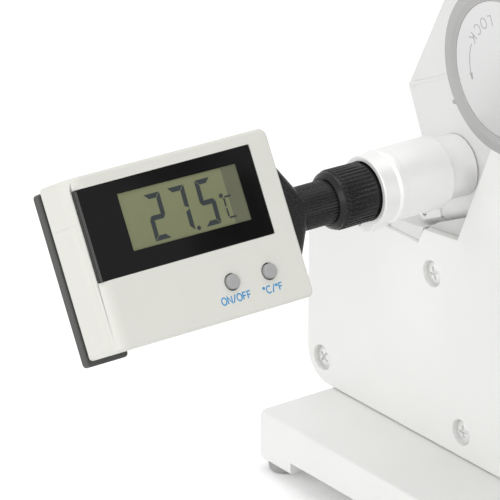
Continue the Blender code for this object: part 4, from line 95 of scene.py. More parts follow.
BODY = Matrix.Translation(ORIGIN)
SIDE = BODY @ UPRIGHT
PRISM = BODY @ moved(*PRISM_PIVOT) @ turned(-PRISM_TILT, "Y")
LOCK = PRISM @ moved(*LOCK_CENTRE) @ UPRIGHT
STEM = BODY @ moved(*STEM_AXIS) @ UPRIGHT
HEAD = STEM @ moved(z=STEM_LENGTH) @ UPRIGHT.inverted() @ turned(90, "Z") @ turned(90 - HEAD_TURN, "X")
SCOPE = BODY @ moved(SCOPE_X, SCOPE_Y, SCOPE_Z) @ turned(SCOPE_TILT, "Y")
DISPERSION = SCOPE @ moved(z=DISPERSION_RISE) @ UPRIGHT
SCALE = BODY @ moved(x=SCALE_X, z=SCALE_Z) @ UPRIGHT


# Materials: all of them are made of shader nodes and laid out in metres on the object
NOISE_LOW, NOISE_HIGH = 0.3, 0.7


class Tree:
    """A material's node tree, with short calls for the nodes used here."""

    def __init__(self, name):
        self.material = bpy.data.materials.new(name)
        self.material.use_nodes = True
        self.tree = self.material.node_tree
        self.shader = self.tree.nodes["Principled BSDF"]
        self.place = self.add("ShaderNodeTexCoord").outputs["Object"]

    def add(self, kind, **values):
        node = self.tree.nodes.new(kind)
        for key, value in values.items():
            setattr(node, key, value)
        return node

    def link(self, source, target):
        self.tree.links.new(source, target)

    def noise(self, scale, detail=3.0):
        node = self.add("ShaderNodeTexNoise")
        node.inputs["Scale"].default_value = scale
        node.inputs["Detail"].default_value = detail
        self.link(self.place, node.inputs["Vector"])
        return node.outputs["Fac"]

    def patches(self, source, dark, pale):
        """Base colour between two tones, by a noise."""
        node = self.add("ShaderNodeValToRGB")
        for element, place, color in zip(node.color_ramp.elements, (NOISE_LOW, NOISE_HIGH), (dark, pale)):
            element.position = place
            element.color = (*color, 1.0)
        self.link(source, node.inputs["Fac"])
        self.link(node.outputs["Color"], self.shader.inputs["Base Color"])

    def gloss(self, source, low, high, start=NOISE_LOW):
        """Roughness between two values, by a noise."""
        node = self.add("ShaderNodeMapRange")
        node.inputs["From Min"].default_value = start
        node.inputs["From Max"].default_value = NOISE_HIGH
        node.inputs["To Min"].default_value = low
        node.inputs["To Max"].default_value = high
        self.link(source, node.inputs["Value"])
        self.link(node.outputs["Result"], self.shader.inputs["Roughness"])

    def maths(self, operation, first, second):
        node = self.add("ShaderNodeMath", operation=operation)
        for socket, value in zip(node.inputs, (first, second)):
            if isinstance(value, (int, float)):
                socket.default_value = value
            else:
                self.link(value, socket)
        return node.outputs["Value"]

    def bump(self, height, strength, distance):
        node = self.add("ShaderNodeBump")
        node.inputs["Strength"].default_value = strength
        node.inputs["Distance"].default_value = distance
        self.link(height, node.inputs["Height"])
        self.link(node.outputs["Normal"], self.shader.inputs["Normal"])

    def set(self, **values):
        for key, value in values.items():
            self.shader.inputs[key.replace("_", " ")].default_value = value


def tone(color, factor):
    return tuple(min(1.0, channel * factor) for channel in color)


def finish_of(name, color, rough, spread=0.04, patch=45.0, grain=1400.0, strength=0.08, rough_spread=0.06,
              depth=0.00008, **sockets):
    """Paint, plastic or metal: soft patches of colour, uneven gloss and a fine grain in relief."""
    tree = Tree(name)
    broad = tree.noise(patch, detail=4.0)
    tree.patches(broad, tone(color, 1.0 - spread), tone(color, 1.0 + spread))
    fine = tree.noise(grain)
    mixed = tree.maths("ADD", tree.maths("MULTIPLY", broad, 0.5), tree.maths("MULTIPLY", fine, 0.5))
    tree.gloss(mixed, rough - rough_spread, rough + rough_spread)
    if strength:
        tree.bump(fine, strength, depth)
    tree.set(**sockets)
    return tree


PAINT = finish_of("enamel_paint", (0.82, 0.82, 0.805), 0.42, spread=0.012, grain=900.0, strength=0.10,
                  depth=0.00006, Coat_Weight=0.15, Coat_Roughness=0.3)
# Grey casting colour darkened to paint the shade that falls behind the cover, under the prism housing
PAINTED_SHADE_CASTING = finish_of("casting_painted_shade", (0.60, 0.60, 0.59), 0.50, spread=0.03, grain=1200.0, strength=0.15)
CAST = finish_of("satin_casting", (0.735, 0.735, 0.725), 0.42, spread=0.015, grain=1600.0, strength=0.10,
                 depth=0.00005, Metallic=0.25)
SOCKET = finish_of("turned_aluminium", (0.89, 0.89, 0.88), 0.36, spread=0.012, patch=30.0, grain=420.0,
                   strength=0.0, rough_spread=0.04, Metallic=0.22)
STEEL = finish_of("bright_steel", (0.66, 0.66, 0.67), 0.26, spread=0.05, grain=2600.0, Metallic=1.0)
BRASS = finish_of("aged_brass", (0.74, 0.55, 0.28), 0.34, spread=0.10, grain=1800.0, strength=0.10,
                  Metallic=1.0)
ANODISED = finish_of("black_anodised", (0.035, 0.035, 0.037), 0.36, spread=0.10, grain=2600.0, strength=0.10,
                     Metallic=0.35)
# Dark grey of the case's back; the same grey on a strip by the display frame is a painted highlight
DARK_GREY_AND_BEZEL_SHEEN = finish_of("dark_grey_back_and_bezel_sheen", (0.075, 0.077, 0.072), 0.45, spread=0.08, grain=2400.0, strength=0.10,
                 Specular_IOR_Level=0.3)
BLACK = finish_of("moulded_black_plastic", (0.012, 0.012, 0.012), 0.28, spread=0.12, grain=2400.0,
                  strength=0.14, depth=0.00005, Specular_IOR_Level=0.30)
RIM = finish_of("knob_rim", (0.42, 0.416, 0.415), 0.24, spread=0.03, grain=2200.0, strength=0.05,
                rough_spread=0.03)
DISC = finish_of("spun_disc", (0.715, 0.71, 0.71), 0.36, spread=0.012, patch=30.0, grain=500.0, strength=0.0,
                 rough_spread=0.03, Metallic=0.30)
NICKEL = finish_of("nickel_screw", (0.80, 0.80, 0.79), 0.36, spread=0.02, grain=1500.0, strength=0.02,
                   Metallic=0.35)
RUBBER = finish_of("rubber", (0.028, 0.028, 0.028), 0.72, spread=0.18, grain=1500.0, strength=0.25,
                   depth=0.0001)
FOOT = finish_of("grey_rubber", (0.34, 0.34, 0.335), 0.70, spread=0.08, grain=1500.0, strength=0.15,
                 depth=0.0001)
SHELL = finish_of("white_plastic", (0.69, 0.69, 0.64), 0.38, spread=0.01, grain=2600.0, strength=0.09,
                  depth=0.00004)
BUTTON = finish_of("grey_button", (0.37, 0.37, 0.375), 0.45, spread=0.05, grain=2600.0, strength=0.10)
GLOSS = finish_of("gloss_black", (0.006, 0.006, 0.006), 0.12, spread=0.20, grain=1200.0, strength=0.015,
                  rough_spread=0.03, Specular_IOR_Level=0.14)
BOARD = finish_of("board_green", (0.03, 0.20, 0.08), 0.45, spread=0.10, grain=1800.0, strength=0.10)

# Display: a greenish reflector, with a darker band of painted shade at its right end
LCD = finish_of("display_reflector", (0.175, 0.187, 0.094), 0.35, spread=0.05, patch=90.0, grain=2600.0,
                strength=0.02)
LCD_PAINTED_SHADE = finish_of("display_painted_shade", (0.115, 0.122, 0.072), 0.35, spread=0.04, patch=90.0, grain=2600.0,
                      strength=0.02)

GLASS = Tree("optical_glass")
GLASS.patches(GLASS.noise(60.0), (0.94, 0.97, 0.96), (0.98, 1.0, 0.99))
GLASS.gloss(GLASS.noise(900.0), 0.0, 0.03, start=0.4)
GLASS.set(Transmission_Weight=1.0, IOR=1.52)

FROST = Tree("frosted_window")
frost_grain = FROST.noise(3000.0, detail=4.0)
FROST.patches(FROST.noise(80.0), (0.71, 0.71, 0.70), (0.75, 0.75, 0.74))
FROST.gloss(frost_grain, 0.45, 0.65)
FROST.bump(frost_grain, 0.3, 0.00005)
FROST.set(IOR=1.45, Specular_IOR_Level=0.4)

INK_BLUE = finish_of("blue_ink", (0.055, 0.28, 0.54), 0.45, spread=0.06, grain=2600.0, strength=0.02)
INK_GREY = finish_of("grey_ink", (0.42, 0.42, 0.43), 0.45, spread=0.06, grain=2600.0, strength=0.02)
LCD_INK = finish_of("display_ink", (0.018, 0.026, 0.029), 0.35, spread=0.05, grain=2600.0, strength=0.02)

MIRROR = Tree("mirror")
MIRROR.patches(MIRROR.noise(60.0), (0.84, 0.86, 0.87), (0.90, 0.92, 0.93))
MIRROR.gloss(MIRROR.noise(1500.0), 0.02, 0.07, start=0.4)
MIRROR.set(Metallic=1.0)

LOOKS = {
    "white_paint": PAINT,
    "satin_metal": CAST,
    "bright_steel": STEEL,
    "brass": BRASS,
    "black_metal": ANODISED,
    "black_plastic": BLACK,
    "knob_rim": RIM,
    "knob_disc": DISC,
    "rubber": RUBBER,
    "white_plastic": SHELL,
    "grey_plastic": BUTTON,
    "gloss_black": GLOSS,
    "display": LCD,
    "board": BOARD,
    "optical_glass": GLASS,
    "frosted_glass": FROST,
    "mirror": MIRROR,
}
SLOT_OF = {row["node"]: row["material_slot"] for row in frame["record"]["subparts"]}
BODY_OF = {node: body for body, nodes in frame["record"]["behaviour"]["bodies"].items() for node in nodes}


def dress(obj, tree):
    obj.data.materials.clear()
    obj.data.materials.append(tree.material)


for node, obj in NODES.items():
    dress(obj, LOOKS[SLOT_OF[node]])
dress(NODES["thermometer_socket"], SOCKET)

# Shapes: all of them are drawn in millimetres, in the frame of what they belong to
TINY = 1e-6
SIDE_SHARE = 0.49  # the most of a side that one corner's arc takes
RIB_SIDES = 6  # faces round each rib
RIB_SHARPNESS = 1.6  # above 1, ribs and grooves are flat between their flanks
EDGE_ANGLE = 35.0  # from this turn on, in degrees, an edge is rounded
MERGE_DISTANCE = 0.01
FLAT_ANGLE = 0.5
JOINT_REACH = 0.7  # edges this near to a parting plane stay sharp
MITRE_LIMIT = 0.4


def eased(points, closed, steps=5):
    """Line through (x, y[, radius]) points, whose corners with a radius become arcs."""
    line = []
    count = len(points)
    for index, point in enumerate(points):
        radius = point[2] if len(point) > 2 else 0.0
        if radius <= 0 or (not closed and index in (0, count - 1)):
            line.append((point[0], point[1]))
            continue
        corner = Vector(point[:2])
        before = Vector(points[index - 1][:2]) - corner
        after = Vector(points[(index + 1) % count][:2]) - corner
        half = before.angle(after) / 2
        run = min(radius / math.tan(half), before.length * SIDE_SHARE, after.length * SIDE_SHARE)
        radius = run * math.tan(half)
        middle = corner + (before.normalized() + after.normalized()).normalized() * (radius / math.sin(half))
        first = corner + before.normalized() * run - middle
        last = corner + after.normalized() * run - middle
        start = math.atan2(first.y, first.x)
        sweep = (math.atan2(last.y, last.x) - start + math.pi) % (2 * math.pi) - math.pi
        for step in range(steps + 1):
            angle = start + sweep * step / steps
            line.append((middle.x + radius * math.cos(angle), middle.y + radius * math.sin(angle)))
    return line


def to_mesh(name, solid):
    bmesh.ops.recalc_face_normals(solid, faces=solid.faces)
    mesh = bpy.data.meshes.new(name)
    solid.to_mesh(mesh)
    solid.free()
    return mesh


def lathe(name, profile, closed=False, sides=96, ribs=0, rib_depth=0.0, rib_span=(0.0, 0.0)):
    """Profile of (radius, height[, easing]) turned about Z; ribs run along it within a span of heights."""
    line = eased(profile, closed)
    if ribs:
        sides = ribs * RIB_SIDES
    solid = bmesh.new()
    rings = []
    for radius, height in line:
        if radius < TINY:
            rings.append([solid.verts.new((0, 0, height))])
            continue
        cut = rib_depth if rib_span[0] <= height <= rib_span[1] else 0.0
        ring = []
        for k in range(sides):
            angle = 2 * math.pi * k / sides
            wave = max(0.0, min(1.0, 0.5 + RIB_SHARPNESS * 0.5 * math.cos(ribs * angle))) if ribs else 1.0
            reach = radius - cut * (1.0 - wave)
            ring.append(solid.verts.new((reach * math.cos(angle), reach * math.sin(angle), height)))
        rings.append(ring)
    pairs = list(zip(rings, rings[1:])) + ([(rings[-1], rings[0])] if closed else [])
    for low, high in pairs:
        for k in range(sides):
            after = (k + 1) % sides
            corners = list(dict.fromkeys((
                low[k % len(low)], low[after % len(low)], high[after % len(high)], high[k % len(high)],
            )))
            if len(corners) > 2:
                solid.faces.new(corners)
    if not closed:
        for ring in (rings[0], rings[-1]):
            if len(ring) > 2:
                solid.faces.new(ring)
    return to_mesh(name, solid)


def slab(name, outline, low, high):
    """Outline of (x, y[, radius]) corners, thick from low to high along Z."""
    line = eased(outline, True, steps=10)
    solid = bmesh.new()
    foot = [solid.verts.new((x, y, low)) for x, y in line]
    roof = [solid.verts.new((x, y, high)) for x, y in line]
    solid.faces.new(list(reversed(foot)))
    solid.faces.new(roof)
    for k in range(len(line)):
        after = (k + 1) % len(line)
        solid.faces.new((foot[k], foot[after], roof[after], roof[k]))
    return to_mesh(name, solid)


def box(name, low, high):
    outline = [(low[0], low[1]), (high[0], low[1]), (high[0], high[1]), (low[0], high[1])]
    return slab(name, outline, low[2], high[2])


def disc(name, radius, low, high, x=0.0, y=0.0, sides=48):
    mesh = lathe(name, [(0, low), (radius, low), (radius, high), (0, high)], sides=sides)
    mesh.transform(Matrix.Translation((x, y, 0)))
    return mesh


def with_modifiers(mesh, steps):
    """Mesh after a list of modifiers, each given as (kind, settings)."""
    holder = bpy.data.objects.new("holder", mesh)
    bpy.context.scene.collection.objects.link(holder)
    tools = []
    for kind, settings in steps:
        modifier = holder.modifiers.new(kind.lower(), kind)
        for key, value in settings.items():
            if key == "object":
                value = bpy.data.objects.new("tool", value)
                bpy.context.scene.collection.objects.link(value)
                tools.append(value)
            setattr(modifier, key, value)
    graph = bpy.context.evaluated_depsgraph_get()
    graph.update()
    result = bpy.data.meshes.new_from_object(holder.evaluated_get(graph))
    for extra in [holder, *tools]:
        bpy.data.objects.remove(extra, do_unlink=True)
    return result


def carved(mesh, cuts=(), edge=0.0, segments=3, angle=EDGE_ANGLE):
    """Mesh with others cut from it, and then its sharp edges rounded."""
    steps = [("BOOLEAN", {"operation": "DIFFERENCE", "solver": "EXACT", "object": other}) for other in cuts]
    if edge:
        steps.append(("BEVEL", {
            "width": edge, "segments": segments, "limit_method": "ANGLE",
            "angle_limit": math.radians(angle), "use_clamp_overlap": False, "harden_normals": False,
        }))
    return with_modifiers(mesh, steps)


def cleaned(mesh):
    """Copy of a node's mesh, with doubled points merged and flat areas made whole."""
    solid = bmesh.new()
    solid.from_mesh(mesh)
    bmesh.ops.remove_doubles(solid, verts=solid.verts, dist=MERGE_DISTANCE * MM)
    bmesh.ops.dissolve_limit(
        solid, angle_limit=math.radians(FLAT_ANGLE), verts=solid.verts, edges=solid.edges,
    )
    copy = bpy.data.meshes.new(mesh.name)
    solid.to_mesh(copy)
    solid.free()
    return copy


def piece(name, mesh, frame_matrix, look, nodes=(), body=None, smooth=32.0, weighted=False):
    """A visible piece that rides with the body of the CAD nodes that it replaces, or with the body named."""
    if frame_matrix is not None:
        mesh.transform(Matrix.Scale(MM, 4))
    mesh.materials.clear()
    mesh.materials.append(look.material)
    mesh.shade_smooth()
    mesh.set_sharp_from_angle(angle=math.radians(smooth))
    made = bpy.data.objects.new(name, mesh)
    bpy.context.scene.collection.objects.link(made)
    if frame_matrix is not None:
        made.matrix_world = frame_matrix
    if weighted:
        made.modifiers.new("weighted", "WEIGHTED_NORMAL").keep_sharp = True
    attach(made, body or BODY_OF[nodes[0]])
    if nodes:
        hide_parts(*nodes)


def refined(node, edge, look=None, joint=None):
    """The CAD node's own shape with its edges rounded, but for those in the joint's plane z = 0."""
    mesh = cleaned(NODES[node].data)
    solid = bmesh.new()
    solid.from_mesh(mesh)
    weight = solid.edges.layers.float.new("bevel_weight_edge")
    for side in solid.edges:
        turn = side.calc_face_angle(0.0)
        kept = joint is not None and all(
            abs((joint.inverted() @ vert.co).z) < JOINT_REACH * MM for vert in side.verts
        )
        side[weight] = 1.0 if turn > math.radians(EDGE_ANGLE) and not kept else 0.0
    solid.to_mesh(mesh)
    solid.free()
    mesh = with_modifiers(mesh, [("BEVEL", {
        "width": edge * MM, "segments": 3, "limit_method": "WEIGHT", "use_clamp_overlap": False,
    })])
    piece(node + "_fine", mesh, None, look or LOOKS[SLOT_OF[node]], [node], smooth=40.0, weighted=True)


def merged(name, *meshes):
    """Several meshes as one, each left as it is."""
    solid = bmesh.new()
    for mesh in meshes:
        solid.from_mesh(mesh)
    return to_mesh(name, solid)


def ribbon(name, lines, width, low, high):
    """Flat strokes along lines of points, each with square ends."""
    solid = bmesh.new()
    for line in lines:
        points = [Vector(point) for point in line]
        loop = len(points) > 2 and (points[0] - points[-1]).length < TINY
        if loop:
            points = points[:-1]
        count = len(points)
        left, right = [], []
        for index, point in enumerate(points):
            before = points[index - 1] if index or loop else None
            after = points[(index + 1) % count] if index < count - 1 or loop else None
            into = (point - before).normalized() if before is not None else (after - point).normalized()
            out = (after - point).normalized() if after is not None else into
            side = Vector((-(into + out).y, (into + out).x)).normalized()
            reach = width / 2 / max(MITRE_LIMIT, side.dot(Vector((-into.y, into.x))))
            left.append(point + side * reach)
            right.append(point - side * reach)
        spans = range(count if loop else count - 1)
        (left_low, left_high), (right_low, right_high) = (
            [[solid.verts.new((p.x, p.y, z)) for p in side] for z in (low, high)] for side in (left, right)
        )
        for k in spans:
            n = (k + 1) % count
            solid.faces.new((left_high[k], right_high[k], right_high[n], left_high[n]))
            solid.faces.new((left_low[k], left_low[n], right_low[n], right_low[k]))
            solid.faces.new((left_low[k], left_high[k], left_high[n], left_low[n]))
            solid.faces.new((right_low[k], right_low[n], right_high[n], right_high[k]))
        if not loop:
            for k in (0, count - 1):
                solid.faces.new((left_low[k], right_low[k], right_high[k], left_high[k]))
    return to_mesh(name, solid)


def arc_points(x, y, radius_x, radius_y, start, end, steps):
    """Points along an arc between two bearings in degrees."""
    points = []
    for step in range(steps + 1):
        angle = math.radians(start + (end - start) * step / steps)
        points.append((x + radius_x * math.cos(angle), y + radius_y * math.sin(angle)))
    return points


# Letters in a box one unit tall: the width and the strokes of each
LETTER_GAP = 0.18
LETTERS = {
    "L": (0.55, [[(0, 1), (0, 0), (0.52, 0)]]),
    "O": (0.86, [arc_points(0.40, 0.5, 0.40, 0.5, 90, 450, 28)]),
    "C": (0.80, [arc_points(0.40, 0.5, 0.40, 0.5, 42, 318, 22)]),
    "K": (0.66, [[(0, 0), (0, 1)], [(0.58, 1), (0.0, 0.36)], [(0.20, 0.58), (0.62, 0)]]),
    "N": (0.74, [[(0, 0), (0, 1), (0.66, 0), (0.66, 1)]]),
    "F": (0.58, [[(0.54, 1), (0, 1), (0, 0)], [(0, 0.53), (0.46, 0.53)]]),
    "/": (0.46, [[(0, -0.05), (0.42, 1.05)]]),
    "°": (0.36, [arc_points(0.14, 0.84, 0.13, 0.13, 0, 360, 14)]),
}


def lettering(text, height):
    """Strokes of a line of text from the left, and its length."""
    lines = []
    pen = 0.0
    for sign in text:
        width, strokes = LETTERS[sign]
        for stroke in strokes:
            lines.append([((pen + x) * height, y * height) for x, y in stroke])
        pen += width + LETTER_GAP
    return lines, (pen - LETTER_GAP) * height


# Body: side cover, its screws, window and base. The telescope's own axis is leant over by SCOPE_TILT
def scope_point(along, across):
    tilt = math.radians(SCOPE_TILT)
    return (SCOPE_X + along * math.sin(tilt) + across * math.cos(tilt),
            SCOPE_Z + along * math.cos(tilt) - across * math.sin(tilt))


COVER_LEFT = 53.0
KNEE_X, KNEE_Z, KNEE_RISE = 62.2, 59.8, 6.8
SLOPE_LENGTH = 48.5
SLOPE = math.radians(66.7)
cover_line = [
    (0, 0, 9), (0, COVER_LEFT, 4), (KNEE_X, KNEE_Z, 0.6),
    (KNEE_X + SLOPE_LENGTH * math.cos(SLOPE), KNEE_Z + SLOPE_LENGTH * math.sin(SLOPE), 4),
    (*scope_point(88, -22.2), 3), (*scope_point(88, 22.2), 4), (130, 30, 9), (122, 0, 3),
]

# Notch for the window, open at the top. The cuts go from inside the cover to outside it
WINDOW_LEFT, WINDOW_LOW, WINDOW_RIGHT, WINDOW_TOP_RIGHT = 33.5, 53.8, 46.2, 49.8
INSIDE, OUTSIDE = -4, 2
window_top = COVER_LEFT + KNEE_RISE * WINDOW_LEFT / KNEE_X + 4
window_line = [
    (WINDOW_LEFT, WINDOW_LOW), (WINDOW_RIGHT, WINDOW_LOW),
    (WINDOW_TOP_RIGHT, window_top), (WINDOW_LEFT, window_top),
]
cover_cuts = [
    slab("window_cut", window_line, INSIDE, OUTSIDE),
    disc("shaft_hole", 2.5, INSIDE, OUTSIDE, SCALE_X, SCALE_Z),
]

# Screws: the place and the turn of each one's cross, and their seat in the counterbores
SCREWS = [(52.2, 47.1, 24), (6.3, 6.9, 50), (65.4, 6.9, 12), (113.0, 6.9, 38), (*scope_point(78, 15.6), 65)]
COUNTERBORE_FLOOR, SCREW_SEAT = -2.0, -1.95
for u, w, _ in SCREWS:
    cover_cuts += [
        disc("screw_hole", 1.7, INSIDE, OUTSIDE, u, w),
        disc("counterbore", 3.5, COUNTERBORE_FLOOR, OUTSIDE, u, w),
    ]
piece(
    "side_cover_fine", carved(slab("cover", cover_line, -2.5, 0), cover_cuts, edge=0.35),
    SIDE, PAINT, ["side_cover"], weighted=True,
)

screw_profile = [
    (0, -8.0), (1.4, -8.0, 0.3), (1.4, 0), (3.0, 0, 0.1), (3.0, 0.5, 0.3), (1.7, 1.05, 1.8), (0, 1.15),
]
CROSS_LONG, CROSS_WIDE, CROSS_LOW, CROSS_HIGH = 1.75, 0.36, 0.25, 3
for number, (u, w, spin) in enumerate(SCREWS, 1):
    head = carved(lathe("screw", screw_profile, sides=64), [
        box("arm", (-CROSS_LONG, -CROSS_WIDE, CROSS_LOW), (CROSS_LONG, CROSS_WIDE, CROSS_HIGH)),
        box("arm", (-CROSS_WIDE, -CROSS_LONG, CROSS_LOW), (CROSS_WIDE, CROSS_LONG, CROSS_HIGH)),
    ], edge=0.06, segments=2, angle=50)
    piece(
        f"cover_screw_{number}_fine", head, SIDE @ moved(u, w, SCREW_SEAT) @ turned(spin, "Z"), NICKEL,
        [f"cover_screw_{number}"],
    )

for node, edge in (
    ("body_frame", 0.4), ("scale_window", 0.15), ("base_plate", 0.25), ("light_shield", 0.2),
    ("reflector_frame", 0.2), ("lower_prism_housing", 0.4), ("upper_prism_housing", 0.4),
):
    refined(node, edge, joint=PRISM if "prism" in node else None)
refined("case_back", 0.35, DARK_GREY_AND_BEZEL_SHEEN)

# Casting between the cover and the prism housing, its grey darkened as painted shade, and the bedding below
# the scale window
cheek_line = [(47.7, 56.6), (47.7, 58.2), (52.0, 60.8), (63.5, 66.0), (63.5, 57.6)]
cheek = slab("cheek", cheek_line, -2.85, -2.55)
piece("casting_cheek", cheek, SIDE, PAINTED_SHADE_CASTING, body="stand")
bedding = box("bedding", (33.6, 53.83, -2.4), (46.2, 54.06, -0.6))
piece("window_bedding", bedding, SIDE, PAINT, body="stand")

# Seal between the two prism housings, round the prisms, and a pin in the lower housing's side
seal = carved(
    box("seal", (3.6, 3.01, -0.485), (58.1, 47.6, 0.47)), [box("opening", (8.8, 11.8, -2), (53.6, 38.9, 2))],
)
piece("prism_seal", seal, PRISM, CAST, body="stand")
pin = lathe("pin", [(0, -3.2), (0.6, -3.2), (0.6, -2.1, 0.3), (0, -2.0)], sides=32)
piece("housing_pin", pin, PRISM @ moved(21.5, 0.0, -6.8) @ UPRIGHT, RIM, body="stand")

# Lock knob with its lettered disc
piece("lock_knob_rim_fine", lathe("rim", [
    (3.3, 14.9), (17.25, 14.9), (17.25, 16.6), (18.9, 17.0, 0.3), (21.2, 17.0, 0.3), (21.6, 16.5, 0.5),
    (21.6, 5.6, 1.6), (3.3, 5.6),
], closed=True, sides=160), LOCK, RIM, ["lock_knob_rim"])
piece("lock_knob_disc_fine", lathe("disc", [
    (0, 15.2), (17.22, 15.2), (17.22, 16.6, 0.22), (0, 16.6),
], sides=160), LOCK, DISC, ["lock_knob_disc"])

# Word and arrow on the disc, by bearings in degrees on the level instrument and by radii
LOCK_WORD = (("L", 112.7, 12.3), ("O", 125.3, 12.35), ("C", 139.6, 12.2), ("K", 154.7, 12.1))
LOCK_LETTER = 2.6
LOCK_LINE, LOCK_LOW, LOCK_HIGH = 0.30, 16.58, 16.63
ARROW_RADIUS, ARROW_SPREAD = 12.0, 0.45
ARROW_FROM, ARROW_TO, ARROW_HEAD, ARROW_TIP = 162.8, 203.0, 198.5, 206.4
lock_lines = []
for sign, bearing, radius in LOCK_WORD:
    width, strokes = LETTERS[sign]
    facing = math.radians(bearing - PRISM_TILT)
    outward = Vector((math.cos(facing), math.sin(facing)))
    along = Vector((-outward.y, outward.x))
    middle = outward * radius
    for stroke in strokes:
        lock_lines.append([
            tuple(middle + along * ((x - width / 2) * LOCK_LETTER) - outward * ((y - 0.5) * LOCK_LETTER))
            for x, y in stroke
        ])
lock_lines.append(arc_points(
    0, 0, ARROW_RADIUS, ARROW_RADIUS, ARROW_FROM - PRISM_TILT, ARROW_TO - PRISM_TILT, 24,
))
tip = math.radians(ARROW_TIP - PRISM_TILT)
base = math.radians(ARROW_HEAD - PRISM_TILT)
for offset in (-ARROW_SPREAD, ARROW_SPREAD):
    lock_lines.append([
        ((ARROW_RADIUS + offset) * math.cos(base), (ARROW_RADIUS + offset) * math.sin(base)),
        (ARROW_RADIUS * math.cos(tip), ARROW_RADIUS * math.sin(tip)),
    ])
lock_word = ribbon("letters", lock_lines, LOCK_LINE, LOCK_LOW, LOCK_HIGH)
piece("lock_lettering", lock_word, LOCK, INK_GREY, body="lock")

# Thermometer socket, clamp nut and stem
socket_profile = [
    (7.7, 27.5, 0.1), (8.8, 27.5, 0.25), (9.0, 27.2), (9.0, 26.9), (9.0, 22.9, 0.15), (9.6, 22.3, 0.3),
    (9.6, 20.9, 0.8), (9.45, 20.3), (9.45, 20.0), (9.45, 5.8, 0.3), (8.1, 5.45, 0.1), (8.1, -2.7),
    (5.0, -2.7), (5.0, -8.8), (2.2, -8.8), (2.2, 6.0), (5.3, 6.0), (5.3, 25.1), (7.7, 25.1),
]
lug = lathe("lug", [(0, 22.6), (4.0, 22.6, 0.3), (4.0, 27.4, 0.35), (0, 27.4)], sides=64)
lug.transform(Matrix.Translation((0, -7.2, 0)))
lug_cuts = [disc("keep", 8.3, 20, 30, sides=96), box("slit", (-2.6, -9.6, 26.3), (-1.4, -8.2, 29))]
lug = carved(lug, lug_cuts, edge=0.12, segments=2)
piece(
    "thermometer_socket_fine", merged("socket", lathe("socket", socket_profile, closed=True, sides=128), lug),
    STEM, SOCKET, ["thermometer_socket"],
)
nut_profile = [
    (5.6, 25.4), (7.2, 25.4, 0.2), (7.2, 28.4, 0.1), (7.65, 28.6), (7.7, 29.0), (7.8, 37.0), (7.75, 37.6),
    (7.25, 37.8), (7.25, 38.05), (7.45, 38.2, 0.12), (7.3, 38.7, 0.3), (6.25, 39.8, 0.25), (5.6, 39.8),
]
piece("clamp_nut_fine", lathe(
    "nut", nut_profile, closed=True, ribs=42, rib_depth=0.45, rib_span=(28.65, 37.65),
), STEM, BLACK, ["clamp_nut"], smooth=50)

stem_profile = [
    (1.8, 9.0), (5.0, 9.0, 0.4), (5.0, 39.0), (5.7, 39.05), (5.7, 39.2), (5.7, 51.6), (5.5, 51.7), (0, 52.0),
]
barrel = lathe("barrel", stem_profile, ribs=44, rib_depth=0.25, rib_span=(39.1, 51.65))

# Funnel of the stem: rings that go from nearly round at the barrel to a narrow box at the case
TURNS = 96
STATIONS = 14
ROUND_X, ROUND_Y = 5.55, 5.75
WIDE_X, WIDE_Y = 6.2, 14.8
SQUARENESS = 0.22
FUNNEL_FOOT, FUNNEL_LENGTH = 49.4, 6.8


def funnel_point(angle, share):
    cosine, sine = math.cos(angle), math.sin(angle)
    round_x, round_y = ROUND_X * cosine, ROUND_Y * sine
    wide_x = WIDE_X * math.copysign(abs(cosine) ** SQUARENESS, cosine)
    wide_y = WIDE_Y * math.copysign(abs(sine) ** SQUARENESS, sine)
    x = round_x + (wide_x - round_x) * share
    y = round_y + (wide_y - round_y) * share
    tilt = math.radians(HEAD_TURN)
    return (x * math.cos(tilt) - y * math.sin(tilt), x * math.sin(tilt) + y * math.cos(tilt),
            FUNNEL_FOOT + FUNNEL_LENGTH * share)


funnel = bmesh.new()
rings = [
    [funnel.verts.new(funnel_point(2 * math.pi * k / TURNS, station / STATIONS)) for k in range(TURNS)]
    for station in range(STATIONS + 1)
]
for low_ring, high_ring in zip(rings, rings[1:]):
    for k in range(TURNS):
        n = (k + 1) % TURNS
        funnel.faces.new((low_ring[k], low_ring[n], high_ring[n], high_ring[k]))
funnel.faces.new(rings[-1])
funnel.faces.new(list(reversed(rings[0])))
spigot = disc("spigot", 5.0, 56.0, 61.3, sides=48)
piece(
    "thermometer_stem_fine", merged("stem", barrel, to_mesh("funnel", funnel), spigot), STEM, BLACK,
    ["thermometer_stem"], smooth=40,
)

# Thermometer case: a box whose front left edge is broadly rounded
CASE_MIDDLE = (0.6, 0, 0.65)
CASE_SIZE = (59.8, 43.2, 13.0)
BUTTONS = (("on_off_button", 8.2), ("unit_button", 19.4))
BUTTON_Y = -12.8
shell = bmesh.new()
bmesh.ops.create_cube(shell, size=1.0)
shell.transform(Matrix.Translation(CASE_MIDDLE) @ Matrix.Diagonal((*CASE_SIZE, 1.0)))


def edges_at(solid, test):
    return [edge for edge in solid.edges if all(test(vert.co) for vert in edge.verts)]


def round_edges(solid, edges, width, segments):
    bmesh.ops.bevel(
        solid, geom=edges, offset=width, offset_type="OFFSET", segments=segments, profile=0.5, affect="EDGES",
        clamp_overlap=False,
    )


